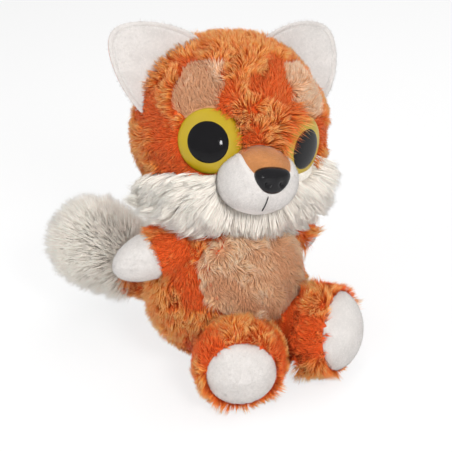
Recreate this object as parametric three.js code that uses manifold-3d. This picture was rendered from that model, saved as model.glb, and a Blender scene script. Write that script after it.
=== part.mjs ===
// A seated plush fox: every cloth panel, filling and plastic piece is a body of its own.
// Millimetres, +Z up, the face looks along -Y, the origin is the middle of the seat.
import * as THREE from 'three';
import { mergeVertices } from 'three/addons/utils/BufferGeometryUtils.js';
import Module from 'manifold-3d';

const wasm = await Module();
wasm.setup();

// Cloth, seams and clearances
const FABRIC = 1.5;
const SEAM_GAP = 0.3;
const JOINT_GAP = 0.6;
const DIMPLE_GAP = 1;
const HEAD_ROOM = 2;
const FLAT_DEPTH = 0.5;
const OVERRUN = 30;
const MERGE = 0.0001;

// Body
const BODY_HALF_WIDTH = 35.5;
const BODY_HALF_DEPTH = 33.5;
const BODY_HALF_HEIGHT = 39.5;
const BODY_HIP_SHARE = 0.05;
const BELLY_HALF_WIDTH = 30;
const BELLY_HALF_HEIGHT = 22;
const BELLY_MID_HEIGHT = 53;
const BELLY_BACK = 15;
const BELLY_SIDE_SHIFT = 2.5;

// Head, in its own frame: the neck pivot is its origin and the crown its +Z
const NECK_HEIGHT = 69;
const NECK_HALF_NOD = 12;
const NECK_HALF_TURN = 35;
const NECK_OPENING_RADIUS = 12;
const NECK_SEAM_RADIUS = 16;
const NECK_SEAM_THICKNESS = 1;
const HEAD_TURN = -10;
const HEAD_TILT = 17;
const HEAD_PITCH = -21;
const HEAD_LIFT = 43.5;
const HEAD_SIDE_SHIFT = 3.5;
const HEAD_FORWARD = 3;
const HEAD_HALF_WIDTH = 43;
const HEAD_HALF_DEPTH = 39.5;
const HEAD_HALF_HEIGHT = 41.5;
const HEAD_CHEEK_SHARE = 0.03;

// Face panels
const BROW_HALF_WIDTH = 11;
const BROW_HALF_HEIGHT = 13.5;
const RIGHT_BROW_SIDE_TURN = 43.5;
const RIGHT_BROW_RISE_TURN = 22;
const LEFT_BROW_SIDE_TURN = 38.5;
const LEFT_BROW_RISE_TURN = 24;
const BROW_LEAN = 12;
const RUFF_TOP_DROP = 15;
const RUFF_BACK = 13;
const RUFF_HALF_WIDTH = 43.5;
const RUFF_HALF_DEPTH = 32.5;
const RUFF_HALF_HEIGHT = 24.5;
const RUFF_DROP = 20;
const RUFF_FORWARD = 8;
const RUFF_LOW_SHARE = 0.04;

// Safety eyes
const EYE_RADIUS = 14.3;
const EYE_DOME = 5.2;
const EYE_RIM = 1.2;
const EYE_SINK = 2.8;
const RIGHT_EYE_SIDE_TURN = 35;
const RIGHT_EYE_DROP_TURN = 10;
const LEFT_EYE_SIDE_TURN = 32;
const LEFT_EYE_DROP_TURN = 12.5;
const PUPIL_RADIUS = 9.2;
const PUPIL_PROUD = 0.5;
const PUPIL_DEPTH = 1.1;
const PUPIL_GAP = 0.1;
const SHANK_RADIUS = 2.6;
const SHANK_LENGTH = 11;
const SHANK_RIB = 0.45;
const SHANK_RIB_PITCH = 1.5;
const SHANK_RIBS = 4;
const WASHER_RADIUS = 7.5;
const WASHER_THICKNESS = 1.4;
const WASHER_DISH = 1.2;
const WASHER_SLOTS = 6;
const WASHER_SLOT_WIDTH = 1;
const WASHER_SLOT_LENGTH = 2.6;
const SHANK_GAP = 0.3;

// Muzzle and nose
const MUZZLE_HALF_WIDTH = 17.5;
const MUZZLE_HALF_DEPTH = 17;
const MUZZLE_HALF_HEIGHT = 14.5;
const MUZZLE_SIDE_SHIFT = -1.5;
const MUZZLE_FORWARD = 36;
const MUZZLE_DROP = 23;
const BRIDGE_HALF_WIDTH = 10.5;
const BRIDGE_HALF_HEIGHT = 13.2;
const BRIDGE_LEAN = 54;
const NOSE_HALF_WIDTH = 7.6;
const NOSE_HALF_DEPTH = 4.4;
const NOSE_HALF_HEIGHT = 5.8;
const NOSE_TAPER_SHARE = 0.3;
const NOSE_RISE = 0.3;
const NOSE_SINK = 1.2;
const NOSTRIL_RADIUS = 1.5;
const NOSTRIL_SIDE = 3.2;
const NOSTRIL_DROP = 1.6;
const NOSE_SHANK_RADIUS = 2;
const NOSE_SHANK_LENGTH = 9;
const NOSE_WASHER_RADIUS = 5.5;

// Ears
const EAR_HALF_WIDTH = 22;
const EAR_HALF_HEIGHT = 29;
const EAR_BASE_SINK = 2;
const EAR_LAYER = 1.5;
const RIGHT_EAR_OUT = 54.5;
const LEFT_EAR_OUT = 46.5;
const RIGHT_EAR_FACE_TURN = 9;
const LEFT_EAR_FACE_TURN = 2;
const EAR_DISH = 5;
const EAR_TIP_SHARE = 0.32;
const EAR_EDGE = 0.8;
const EAR_FOLD_FORWARD = 20;
const EAR_FOLD_BACK = 25;

// Arms
const ARM_ROOT_RADIUS = 10.5;
const PAW_RADIUS = 10.6;
const ARM_REACH = 10;
const PAW_BULGE = 20;
const CUFF_REACH = 10.5;
const ARM_BALL_RADIUS = 7.5;
const RIGHT_SHOULDER_HEIGHT = 67;
const LEFT_SHOULDER_HEIGHT = 55;
const SHOULDER_DEPTH = 1.5;
const RIGHT_ARM_WAY = [-0.97, 0.13, -0.14];
const LEFT_ARM_WAY = [0.69, 0.39, -0.61];
const ARM_DROP = 18;
const ARM_RAISE = 25;

// Legs
const RIGHT_HIP_SIDE = 9.2;
const RIGHT_HIP_FORWARD = 18;
const LEFT_HIP_SIDE = 12;
const LEFT_HIP_FORWARD = 24;
const RIGHT_LEG_SPLAY = 24;
const LEFT_LEG_SPLAY = 35;
const LEG_ROOT_RADIUS = 10.5;
const FOOT_RADIUS = 19.6;
const FOOT_HALF_HEIGHT = 20;
const LEG_REACH = 22.5;
const FOOT_BULGE = 17;
const SOLE_RADIUS = 15.5;
const SOLE_RISE = 5;
const LEG_BALL_RADIUS = 10;
const LEG_DROP = 10;
const LEG_RAISE = 18;

// Tail
const TAIL_ROOT_SIDE = -6;
const TAIL_ROOT_BACK = 22;
const TAIL_ROOT_HEIGHT = 18;
const TAIL_END_SIDE = -38;
const TAIL_END_BACK = 70;
const TAIL_END_HEIGHT = 42;
const TAIL_ROOT_RADIUS = 8;
const TAIL_RADIUS = 19;
const TAIL_BULGE = 18;
const TAIL_WHITE_SHARE = 0.42;
const TAIL_BALL_RADIUS = 6;
const TAIL_WAG = 18;

const SOCKET_DEPTH = 1.5;

// Colours of the cloths and plastics
const ORANGE = 0xcf5218;
const TAN = 0xd9a57c;
const WHITE_PILE = 0xe8e4e0;
const WHITE_NAP = 0xe6e2e4;
const BRIDGE_BROWN = 0xc98a55;
const EYE_YELLOW = 0xbdb522;
const BLACK = 0x0b0a0c;
const FILLING = 0xf2f0ea;
const CLEAR_WHITE = 0xdad8d0;

const X = new THREE.Vector3(1, 0, 0);
const Y = new THREE.Vector3(0, 1, 0);
const Z = new THREE.Vector3(0, 0, 1);
const DEGREE = Math.PI / 180;
const QUARTER = Math.PI / 2;
const at = (x, y, z) => new THREE.Vector3(x, y, z);

// Turns a closed three.js geometry into a solid, with one vertex for each place.
function solid(geometry) {
  const bare = geometry.clone();
  bare.deleteAttribute('normal');
  bare.deleteAttribute('uv');
  const merged = mergeVertices(bare, MERGE);
  const corners = merged.index.array;
  const kept = [];
  for (let i = 0; i < corners.length; i += 3) {
    const [a, b, c] = [corners[i], corners[i + 1], corners[i + 2]];
    if (a !== b && b !== c && c !== a) kept.push(a, b, c);
  }
  return new wasm.Manifold(new wasm.Mesh({
    numProp: 3,
    vertProperties: Float32Array.from(merged.attributes.position.array),
    triVerts: Uint32Array.from(kept),
  }));
}

function geometryOf(manifold) {
  const { vertProperties, triVerts, numProp } = manifold.getMesh();
  const geometry = new THREE.BufferGeometry();
  geometry.setAttribute('position', new THREE.BufferAttribute(vertProperties, numProp));
  geometry.setIndex(new THREE.BufferAttribute(triVerts, 1));
  geometry.computeVertexNormals();
  return geometry;
}

const moved = (geometry, matrix) => geometry.clone().applyMatrix4(matrix);
const cut = (blank, ...tools) => tools.reduce((rest, tool) => rest.subtract(tool), blank);
const joined = (...solids) => solids.reduce((whole, next) => whole.add(next));

// A frame whose Y runs along a direction, with Z as near to straight up as that allows.
function frameAlong(origin, direction, up = Z) {
  const y = direction.clone().normalize();
  const x = y.clone().cross(up).normalize();
  const z = x.clone().cross(y);
  return new THREE.Matrix4().makeBasis(x, y, z).setPosition(origin);
}

function turnAbout(pivot, axis, degrees) {
  const turn = new THREE.Matrix4().makeRotationAxis(axis.clone().normalize(), degrees * DEGREE);
  const back = new THREE.Matrix4().makeTranslation(-pivot.x, -pivot.y, -pivot.z);
  return new THREE.Matrix4().makeTranslation(pivot.x, pivot.y, pivot.z).multiply(turn).multiply(back);
}

function ball(radius, centre, columns = 10, rows = 6) {
  return solid(new THREE.SphereGeometry(radius, columns, rows).translate(centre.x, centre.y, centre.z));
}

// A rod along a frame's Y from one station to another.
function rod(radius, from, to, matrix, sides = 16) {
  const geometry = new THREE.CylinderGeometry(radius, radius, to - from, sides);
  return solid(geometry.translate(0, (from + to) / 2, 0).applyMatrix4(matrix));
}

// An oval bar along a frame's Y.
function ovalBar(halfWidth, halfHeight, from, to, matrix, sides = 24) {
  const geometry = new THREE.CylinderGeometry(1, 1, to - from, sides).translate(0, (from + to) / 2, 0);
  return solid(geometry.scale(halfWidth, 1, halfHeight).applyMatrix4(matrix));
}

function slab(low, high, matrix = new THREE.Matrix4()) {
  const geometry = new THREE.BoxGeometry(high.x - low.x, high.y - low.y, high.z - low.z);
  const middle = low.clone().add(high).multiplyScalar(1 / 2);
  return solid(geometry.translate(middle.x, middle.y, middle.z).applyMatrix4(matrix));
}

// A stuffed form: a sphere drawn out to three half sizes, wider towards its foot by a share.
function stuffed(form, grow, columns, rows) {
  const geometry = new THREE.SphereGeometry(1, columns, rows).rotateX(QUARTER);
  const places = geometry.attributes.position;
  for (let i = 0; i < places.count; i++) {
    const [x, y, z] = [places.getX(i), places.getY(i), places.getZ(i)];
    const swell = 1 - form.lowShare * z;
    places.setXYZ(i, (form.half.x * swell + grow) * x, (form.half.y * swell + grow) * y, (form.half.z + grow) * z);
  }
  return geometry.translate(form.centre.x, form.centre.y, form.centre.z);
}

// Distance from a point inside a stuffed form to its surface along a direction.
function reachToSurface(form, origin, direction) {
  const along = direction.clone().normalize();
  let [near, far] = [0, form.half.x + form.half.y + form.half.z];
  for (let i = 0; i < 50; i++) {
    const reach = (near + far) / 2;
    const p = along.clone().multiplyScalar(reach).add(origin).sub(form.centre);
    const swell = 1 - (form.lowShare * p.z) / form.half.z;
    const depth = (p.x / (form.half.x * swell)) ** 2 + (p.y / (form.half.y * swell)) ** 2 + (p.z / form.half.z) ** 2;
    if (depth < 1) near = reach; else far = reach;
  }
  return near;
}

// A limb about its frame's Y: a round root that swells to a round end.
function limb(size, inset, matrix, sides, steps) {
  const profile = [];
  for (let i = 0; i <= steps; i++) {
    const a = (i / steps) * QUARTER;
    profile.push(new THREE.Vector2((size.root - inset) * Math.sin(a), -(size.root - inset) * Math.cos(a)));
  }
  for (let i = 1; i <= steps; i++) {
    const t = i / steps;
    const radius = size.root + (size.end - size.root) * t * t * (3 - 2 * t);
    profile.push(new THREE.Vector2(radius - inset, size.reach * t));
  }
  for (let i = 1; i <= steps; i++) {
    const a = (i / steps) * QUARTER;
    profile.push(new THREE.Vector2((size.end - inset) * Math.cos(a), size.reach + (size.bulge - inset) * Math.sin(a)));
  }
  profile[0].x = 0;
  profile[profile.length - 1].x = 0;
  const geometry = new THREE.LatheGeometry(profile, sides);
  geometry.scale(1, 1, (size.tall - inset) / (size.end - inset));
  return solid(geometry.applyMatrix4(matrix));
}

// What an obstacle sweeps through, seen from a piece that turns from one limit to the other.
function swept(geometry, pivot, axis, low, high, steps = 1) {
  const places = [];
  for (let i = 1; i <= steps; i++) {
    for (const limit of [low, high]) {
      places.push(solid(moved(geometry, turnAbout(pivot, axis, -(limit * i) / steps))));
    }
  }
  return joined(solid(geometry), ...places);
}

const fox = new THREE.Group();
fox.name = 'plush_fox';
fox.userData.hinges = {};

function add(name, manifold, color, roughness = 1, metalness = 0) {
  const material = new THREE.MeshStandardMaterial({ color, roughness, metalness });
  const mesh = new THREE.Mesh(geometryOf(manifold), material);
  mesh.name = name;
  fox.add(mesh);
}

function hinge(name, pivot, axis, low, high) {
  const unit = axis.clone().normalize();
  fox.userData.hinges[name] = { at: pivot.toArray(), axis: unit.toArray(), range: [low, high] };
}

// Forms of the two large parts
const body = {
  half: at(BODY_HALF_WIDTH, BODY_HALF_DEPTH, BODY_HALF_HEIGHT),
  centre: at(0, 0, BODY_HALF_HEIGHT - FLAT_DEPTH),
  lowShare: BODY_HIP_SHARE,
};
const roundBody = { ...body, half: at(BODY_HALF_WIDTH, BODY_HALF_WIDTH, BODY_HALF_HEIGHT) };
const head = {
  half: at(HEAD_HALF_WIDTH, HEAD_HALF_DEPTH, HEAD_HALF_HEIGHT),
  centre: at(HEAD_SIDE_SHIFT, -HEAD_FORWARD, HEAD_LIFT),
  lowShare: HEAD_CHEEK_SHARE,
};
const neck = at(0, 0, NECK_HEIGHT);
const headFrame = new THREE.Matrix4().makeRotationZ(HEAD_TURN * DEGREE)
  .multiply(new THREE.Matrix4().makeRotationY(HEAD_TILT * DEGREE))
  .multiply(new THREE.Matrix4().makeRotationX(HEAD_PITCH * DEGREE))
  .setPosition(neck);
const inHead = (matrix) => headFrame.clone().multiply(matrix);
const headDirection = (v) => v.clone().transformDirection(headFrame);
const headPoint = (v) => v.clone().applyMatrix4(headFrame);
const headForm = (grow, columns, rows) => stuffed(head, grow, columns, rows).applyMatrix4(headFrame);
const ruff = {
  half: at(RUFF_HALF_WIDTH, RUFF_HALF_DEPTH, RUFF_HALF_HEIGHT),
  centre: at(head.centre.x, head.centre.y - RUFF_FORWARD, head.centre.z - RUFF_DROP),
  lowShare: RUFF_LOW_SHARE,
};
const ruffForm = (grow, columns, rows) => stuffed(ruff, grow, columns, rows).applyMatrix4(headFrame);

// Everything lower than a height over the table, which the soft underside is pressed flat against.
function below(height) {
  const low = at(-BODY_HALF_WIDTH - OVERRUN, -BODY_HALF_DEPTH - OVERRUN * 2, -OVERRUN);
  return slab(low, at(BODY_HALF_WIDTH + OVERRUN, BODY_HALF_DEPTH + OVERRUN * 2, height));
}

// Limbs: each root ball sits in a dimple of the body, and the rest is cut clear of the body's sweep.
function limbPlan(size, root, direction, ballRadius, low, high, axis) {
  const surface = reachToSurface(body, root, direction) - SOCKET_DEPTH;
  const pivot = direction.clone().normalize().multiplyScalar(surface).add(root);
  return { size, matrix: frameAlong(root, direction), pivot, ballRadius, low, high, axis };
}

const liftAxis = (direction) => direction.clone().cross(Z).normalize();

function armPlan(side, height, direction) {
  const root = at(side * SHOULDER_DEPTH, 0, height);
  const reach = reachToSurface(body, root, at(side, 0, 0));
  const shoulder = at(side * (SHOULDER_DEPTH + reach), -SHOULDER_DEPTH, height);
  const size = { root: ARM_ROOT_RADIUS, end: PAW_RADIUS, reach: ARM_REACH, bulge: PAW_BULGE, tall: PAW_RADIUS };
  const plan = limbPlan(size, shoulder, direction, ARM_BALL_RADIUS, -ARM_DROP, ARM_RAISE, liftAxis(direction));
  return { ...plan, underHead: true };
}

const splays = { right: RIGHT_LEG_SPLAY * DEGREE, left: LEFT_LEG_SPLAY * DEGREE };

function legPlan(side, splay, out, forward) {
  const direction = at(side * Math.sin(splay), -Math.cos(splay), 0);
  const root = at(side * out, -forward, FOOT_HALF_HEIGHT - FLAT_DEPTH);
  const size = { root: LEG_ROOT_RADIUS, end: FOOT_RADIUS, reach: LEG_REACH, bulge: FOOT_BULGE, tall: FOOT_HALF_HEIGHT };
  return limbPlan(size, root, direction, LEG_BALL_RADIUS, -LEG_DROP, LEG_RAISE, liftAxis(direction));
}

const arms = {
  right: armPlan(-1, RIGHT_SHOULDER_HEIGHT, at(...RIGHT_ARM_WAY)),
  left: armPlan(1, LEFT_SHOULDER_HEIGHT, at(...LEFT_ARM_WAY)),
};
const legs = {
  right: legPlan(-1, splays.right, RIGHT_HIP_SIDE, RIGHT_HIP_FORWARD),
  left: legPlan(1, splays.left, LEFT_HIP_SIDE, LEFT_HIP_FORWARD),
};
const tailRoot = at(TAIL_ROOT_SIDE, TAIL_ROOT_BACK, TAIL_ROOT_HEIGHT);
const tailEnd = at(TAIL_END_SIDE, TAIL_END_BACK, TAIL_END_HEIGHT);
const tailRun = tailEnd.clone().sub(tailRoot);
const tailSize = {
  root: TAIL_ROOT_RADIUS, end: TAIL_RADIUS, reach: tailRun.length(), bulge: TAIL_BULGE, tall: TAIL_RADIUS,
};
const tail = limbPlan(tailSize, tailRoot, tailRun, TAIL_BALL_RADIUS, -TAIL_WAG, TAIL_WAG, Z);
const limbs = [arms.right, arms.left, legs.right, legs.left, tail];

// Outer surfaces are finer than the inner ones, which never show.
const FINE = [20, 13];
const MIDDLE = [16, 10];
const COARSE = [12, 8];

// Body: orange skin and tan belly over the filling
function bodySolid(inset, [columns, rows]) {
  const dimples = limbs.map((plan) => ball(plan.ballRadius + DIMPLE_GAP + inset, plan.pivot));
  return cut(solid(stuffed(body, -inset, columns, rows)), below(inset), ...dimples);
}

const bellyFrame = frameAlong(at(BELLY_SIDE_SHIFT, 0, BELLY_MID_HEIGHT), Y.clone().negate());
function bellyBar(grow) {
  const [wide, high] = [BELLY_HALF_WIDTH + grow, BELLY_HALF_HEIGHT + grow];
  return ovalBar(wide, high, BELLY_BACK - grow, BODY_HALF_DEPTH + OVERRUN, bellyFrame);
}

const bodyHollow = cut(solid(stuffed(body, -FABRIC, ...COARSE)), below(FABRIC));
const bodyShell = cut(bodySolid(0, FINE), bodyHollow);
add('body_skin', cut(bodyShell, bellyBar(SEAM_GAP)), ORANGE);
add('belly_panel', bodyShell.intersect(bellyBar(0)), TAN);
add('body_stuffing', bodySolid(FABRIC + SEAM_GAP, COARSE), FILLING);

// Neck: the gathered seam between head and body, a band on the body's dome that turns with the head
const domeOf = (grow) => solid(stuffed(roundBody, grow, ...FINE));
const neckUpright = frameAlong(neck, Z, Y);
const neckRod = (radius) => rod(radius, -OVERRUN / 2, OVERRUN, neckUpright);
const seamTop = SEAM_GAP + NECK_SEAM_THICKNESS;
const seamBand = cut(domeOf(seamTop), domeOf(SEAM_GAP), neckRod(NECK_OPENING_RADIUS));
add('neck_seam', seamBand.intersect(neckRod(NECK_SEAM_RADIUS)), ORANGE);

// Head: everything in its frame is cut clear of the body's dome and the seam band as it nods
function underHead(grow) {
  const dome = stuffed(roundBody, seamTop + JOINT_GAP + grow, ...(grow ? MIDDLE : FINE));
  return swept(dome, neck, X, -NECK_HALF_NOD, NECK_HALF_NOD);
}
const headSolid = (inset, quality) => cut(solid(headForm(-inset, ...quality)), underHead(inset));
const neckHole = rod(NECK_OPENING_RADIUS, -OVERRUN, HEAD_LIFT, neckUpright, 20);

// A direction on the face, turned out to one side and then up or down.
function faceDirection(side, out, rise) {
  const [a, b] = [out * DEGREE, rise * DEGREE];
  return at(side * Math.sin(a) * Math.cos(b), -Math.cos(a) * Math.cos(b), Math.sin(b));
}

// The frame of a face piece: its Y points out of the face, from where that direction leaves the head.
function faceFrame(side, out, rise, sink, lean = 0) {
  const direction = faceDirection(side, out, rise);
  const reach = reachToSurface(head, head.centre, direction) - sink;
  const origin = direction.clone().multiplyScalar(reach).add(head.centre);
  const upright = at(side * Math.sin(lean * DEGREE), 0, Math.cos(lean * DEGREE));
  return frameAlong(origin, direction, upright);
}

const eyes = {
  right: inHead(faceFrame(-1, RIGHT_EYE_SIDE_TURN, -RIGHT_EYE_DROP_TURN, EYE_SINK)),
  left: inHead(faceFrame(1, LEFT_EYE_SIDE_TURN, -LEFT_EYE_DROP_TURN, EYE_SINK)),
};
const brows = {
  right: inHead(faceFrame(-1, RIGHT_BROW_SIDE_TURN, RIGHT_BROW_RISE_TURN, 0, -BROW_LEAN)),
  left: inHead(faceFrame(1, LEFT_BROW_SIDE_TURN, LEFT_BROW_RISE_TURN, 0, -BROW_LEAN)),
};
const browBar = (frame, grow) => ovalBar(
  BROW_HALF_WIDTH + grow, BROW_HALF_HEIGHT + grow, -EYE_RADIUS, OVERRUN, frame);
const noseCentre = at(head.centre.x + MUZZLE_SIDE_SHIFT, head.centre.y - MUZZLE_FORWARD - MUZZLE_HALF_DEPTH + NOSE_SINK,
  head.centre.z - MUZZLE_DROP + NOSE_RISE);
const noseFrame = inHead(frameAlong(noseCentre, Y.clone().negate()));

const muzzle = {
  half: at(MUZZLE_HALF_WIDTH, MUZZLE_HALF_DEPTH, MUZZLE_HALF_HEIGHT),
  centre: at(head.centre.x + MUZZLE_SIDE_SHIFT, head.centre.y - MUZZLE_FORWARD, head.centre.z - MUZZLE_DROP),
  lowShare: 0,
};
const muzzleSolid = (inset, quality) => solid(stuffed(muzzle, -inset, ...quality).applyMatrix4(headFrame));

// The long-haired cheek panels: the lower head in front of the side seams, one on each side of the chin.
function cheekBlock(side, grow) {
  const low = at(head.centre.x, head.centre.y - HEAD_HALF_DEPTH - OVERRUN, -OVERRUN);
  const high = at(low.x, head.centre.y + RUFF_BACK + grow, head.centre.z - RUFF_TOP_DROP + grow);
  const outer = head.centre.x + side * (HEAD_HALF_WIDTH + OVERRUN);
  if (side < 0) low.x = outer; else high.x = outer;
  if (side < 0) high.x -= SEAM_GAP / 2 - grow; else low.x += SEAM_GAP / 2 - grow;
  return slab(low, high, headFrame);
}

// The hole that a shank passes through, with the room behind the cloth that its washer takes up.
function shankHole(frame, radius, washerRadius, seat) {
  const hole = rod(radius, -OVERRUN / 2, OVERRUN / 2, frame, 12);
  return hole.add(rod(washerRadius + SEAM_GAP, -OVERRUN / 2, seat + SEAM_GAP, frame));
}

const washerSeat = EYE_SINK - FABRIC * 2;
const shankClearance = SHANK_RADIUS + SHANK_RIB + SHANK_GAP;
const headShell = cut(headSolid(0, FINE), headSolid(FABRIC, COARSE), neckHole,
  ...Object.values(eyes).map((frame) => shankHole(frame, shankClearance, WASHER_RADIUS, washerSeat)));
const skinTools = ['right', 'left'].flatMap((name) => {
  const side = name === 'right' ? -1 : 1;
  return [browBar(brows[name], SEAM_GAP), cheekBlock(side, SEAM_GAP)];
});
add('head_skin', cut(headShell, ...skinTools), ORANGE);

// The depth of the long pile on the cheek panels, clear of the eyes, the muzzle and the body
const eyeClearances = Object.values(eyes).map((frame) => rod(EYE_RADIUS + SEAM_GAP, -EYE_DOME, OVERRUN, frame, 18));
const ruffPile = cut(solid(ruffForm(0, 18, 11)), solid(headForm(-FABRIC / 2, ...FINE)),
  muzzleSolid(-SEAM_GAP, [16, 10]), underHead(0), ...eyeClearances);
const cheekShell = headShell.add(ruffPile);
for (const [name, side] of [['right', -1], ['left', 1]]) {
  add(`brow_patch_${name}`, headShell.intersect(browBar(brows[name], 0)), TAN);
  add(`cheek_ruff_${name}`, cheekShell.intersect(cheekBlock(side, 0)), WHITE_PILE);
}

// Safety eyes: a domed ring, a pupil let into it, a ribbed shank and a slotted washer behind the cloth
function dome(radius, height, edge, back) {
  const profile = [new THREE.Vector2(0, -back), new THREE.Vector2(radius, -back), new THREE.Vector2(radius, edge)];
  for (let i = 1; i < 5; i++) {
    const a = (i / 5) * QUARTER;
    profile.push(new THREE.Vector2(radius * Math.cos(a), edge + (height - edge) * Math.sin(a)));
  }
  profile.push(new THREE.Vector2(0, height));
  return new THREE.LatheGeometry(profile, 18);
}

function ribbedShank(radius, length, start) {
  const profile = [new THREE.Vector2(0, -length), new THREE.Vector2(radius - SHANK_RIB, -length)];
  for (let i = 0; i < SHANK_RIBS; i++) {
    const station = -length + SHANK_RIB_PITCH * (i + 1 / 2);
    profile.push(new THREE.Vector2(radius, station), new THREE.Vector2(radius + SHANK_RIB, station + SHANK_RIB_PITCH / 2));
    profile.push(new THREE.Vector2(radius, station + SHANK_RIB_PITCH / 2));
  }
  profile.push(new THREE.Vector2(radius, start), new THREE.Vector2(0, start));
  return new THREE.LatheGeometry(profile, 8);
}

// A dished washer with slots from its hole, so that its tongues grip the shank.
function washer(outer, hole) {
  const rise = (radius) => (WASHER_DISH * (outer - radius)) / outer;
  const profile = [
    new THREE.Vector2(hole, -WASHER_THICKNESS - rise(hole)), new THREE.Vector2(outer, -WASHER_THICKNESS),
    new THREE.Vector2(outer, 0), new THREE.Vector2(hole, -rise(hole)),
    new THREE.Vector2(hole, -WASHER_THICKNESS - rise(hole)),
  ];
  let ring = solid(new THREE.LatheGeometry(profile, 16));
  for (let i = 0; i < WASHER_SLOTS; i++) {
    const turn = new THREE.Matrix4().makeRotationY((i / WASHER_SLOTS) * 2 * Math.PI);
    const low = at(0, -WASHER_THICKNESS - WASHER_DISH - OVERRUN / 2, -WASHER_SLOT_WIDTH / 2);
    ring = ring.subtract(slab(low, at(hole + WASHER_SLOT_LENGTH, OVERRUN / 2, WASHER_SLOT_WIDTH / 2), turn));
  }
  return geometryOf(ring);
}

function eyeParts(frame) {
  const lens = solid(moved(dome(EYE_RADIUS, EYE_DOME, EYE_RIM, EYE_SINK), frame));
  const seat = cut(lens, solid(headForm(SEAM_GAP, ...FINE)));
  const shank = solid(moved(ribbedShank(SHANK_RADIUS, SHANK_LENGTH, EYE_SINK + SEAM_GAP + PUPIL_DEPTH / 4), frame));
  const pupilBlank = (gap) => solid(moved(
    dome(PUPIL_RADIUS + gap, EYE_DOME + PUPIL_PROUD, EYE_DOME - PUPIL_DEPTH, -(EYE_DOME - PUPIL_DEPTH - gap)), frame));
  return {
    ring: cut(seat.add(shank), pupilBlank(PUPIL_GAP)),
    pupil: pupilBlank(0),
    washer: solid(moved(washer(WASHER_RADIUS, shankClearance), moveAlong(frame, washerSeat))),
  };
}

function moveAlong(frame, station) {
  return frame.clone().multiply(new THREE.Matrix4().makeTranslation(0, station, 0));
}

const headPockets = [];
for (const name of ['right', 'left']) {
  const parts = eyeParts(eyes[name]);
  add(`eye_ring_${name}`, parts.ring, EYE_YELLOW, 0.25);
  add(`eye_pupil_${name}`, parts.pupil, BLACK, 0.06);
  add(`eye_washer_${name}`, parts.washer, CLEAR_WHITE, 0.4);
  headPockets.push(rod(WASHER_RADIUS + SEAM_GAP, -SHANK_LENGTH - SEAM_GAP, OVERRUN, eyes[name]));
}
add('head_stuffing', cut(headSolid(FABRIC + SEAM_GAP, COARSE), ...headPockets), FILLING);

// Muzzle: a velour cup with a brown bridge, sewn over the face and filled
const eyeRooms = Object.values(eyes).map((frame) => rod(EYE_RADIUS + SEAM_GAP, -EYE_DOME, EYE_DOME, frame, 18));
const muzzleFace = joined(solid(headForm(SEAM_GAP, ...FINE)), ...eyeRooms);
const noseWasherSeat = -NOSE_SINK - FABRIC - SEAM_GAP * 2;
const noseHole = shankHole(noseFrame, NOSE_SHANK_RADIUS + SHANK_GAP, NOSE_WASHER_RADIUS, noseWasherSeat);
const muzzleShell = cut(muzzleSolid(0, [16, 10]), muzzleSolid(FABRIC, COARSE), muzzleFace, noseHole);
const bridgeFrame = inHead(frameAlong(muzzle.centre, faceDirection(0, 0, BRIDGE_LEAN), Y));
const bridgeBar = (grow) => ovalBar(BRIDGE_HALF_WIDTH + grow, BRIDGE_HALF_HEIGHT + grow, 0, OVERRUN, bridgeFrame, 24);
add('muzzle_skin', cut(muzzleShell, bridgeBar(SEAM_GAP)), WHITE_NAP);
add('muzzle_bridge', muzzleShell.intersect(bridgeBar(0)), BRIDGE_BROWN);

// Nose: a moulded rounded triangle with two nostrils on a shank
const noseForm = {
  half: at(NOSE_HALF_WIDTH, NOSE_HALF_DEPTH, NOSE_HALF_HEIGHT), centre: at(0, 0, 0), lowShare: -NOSE_TAPER_SHARE,
};
const noseBack = cut(solid(moved(stuffed(noseForm, 0, 16, 10), noseFrame)), muzzleSolid(-SEAM_GAP, [16, 10]));
const nostrils = [-1, 1].map((side) => ball(
  NOSTRIL_RADIUS, at(side * NOSTRIL_SIDE, NOSE_HALF_DEPTH, -NOSTRIL_DROP).applyMatrix4(noseFrame)));
const noseShank = rod(NOSE_SHANK_RADIUS, -NOSE_SHANK_LENGTH, NOSE_HALF_DEPTH / 2, noseFrame, 12);
add('nose', cut(noseBack, ...nostrils).add(noseShank), BLACK, 0.1);
const noseWasher = washer(NOSE_WASHER_RADIUS, NOSE_SHANK_RADIUS + SHANK_GAP);
add('nose_washer', solid(moved(noseWasher, moveAlong(noseFrame, noseWasherSeat))), CLEAR_WHITE, 0.4);
const nosePocket = rod(NOSE_WASHER_RADIUS + SEAM_GAP, -NOSE_SHANK_LENGTH - SEAM_GAP, OVERRUN, noseFrame, 18);
add('muzzle_stuffing', cut(muzzleSolid(FABRIC + SEAM_GAP, COARSE), muzzleFace, nosePocket), FILLING);

// Ears: a white front and an orange back sewn round the edge, dished, folding on the crown
function earLayer(edge, offset) {
  const form = { half: at(EAR_HALF_WIDTH + edge, EAR_LAYER / 2, EAR_HALF_HEIGHT + edge), centre: at(0, 0, 0), lowShare: 0 };
  const geometry = stuffed(form, 0, 16, 12);
  const places = geometry.attributes.position;
  for (let i = 0; i < places.count; i++) {
    const [x, y, z] = [places.getX(i), places.getY(i), places.getZ(i)];
    const narrowing = 1 - EAR_TIP_SHARE * ((z / EAR_HALF_HEIGHT + 1) / 2) ** 2;
    const dish = EAR_DISH * ((x / EAR_HALF_WIDTH) ** 2 - (z / EAR_HALF_HEIGHT) ** 2 / 2);
    places.setXYZ(i, x * narrowing, y + offset - dish, z);
  }
  return geometry;
}

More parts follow.
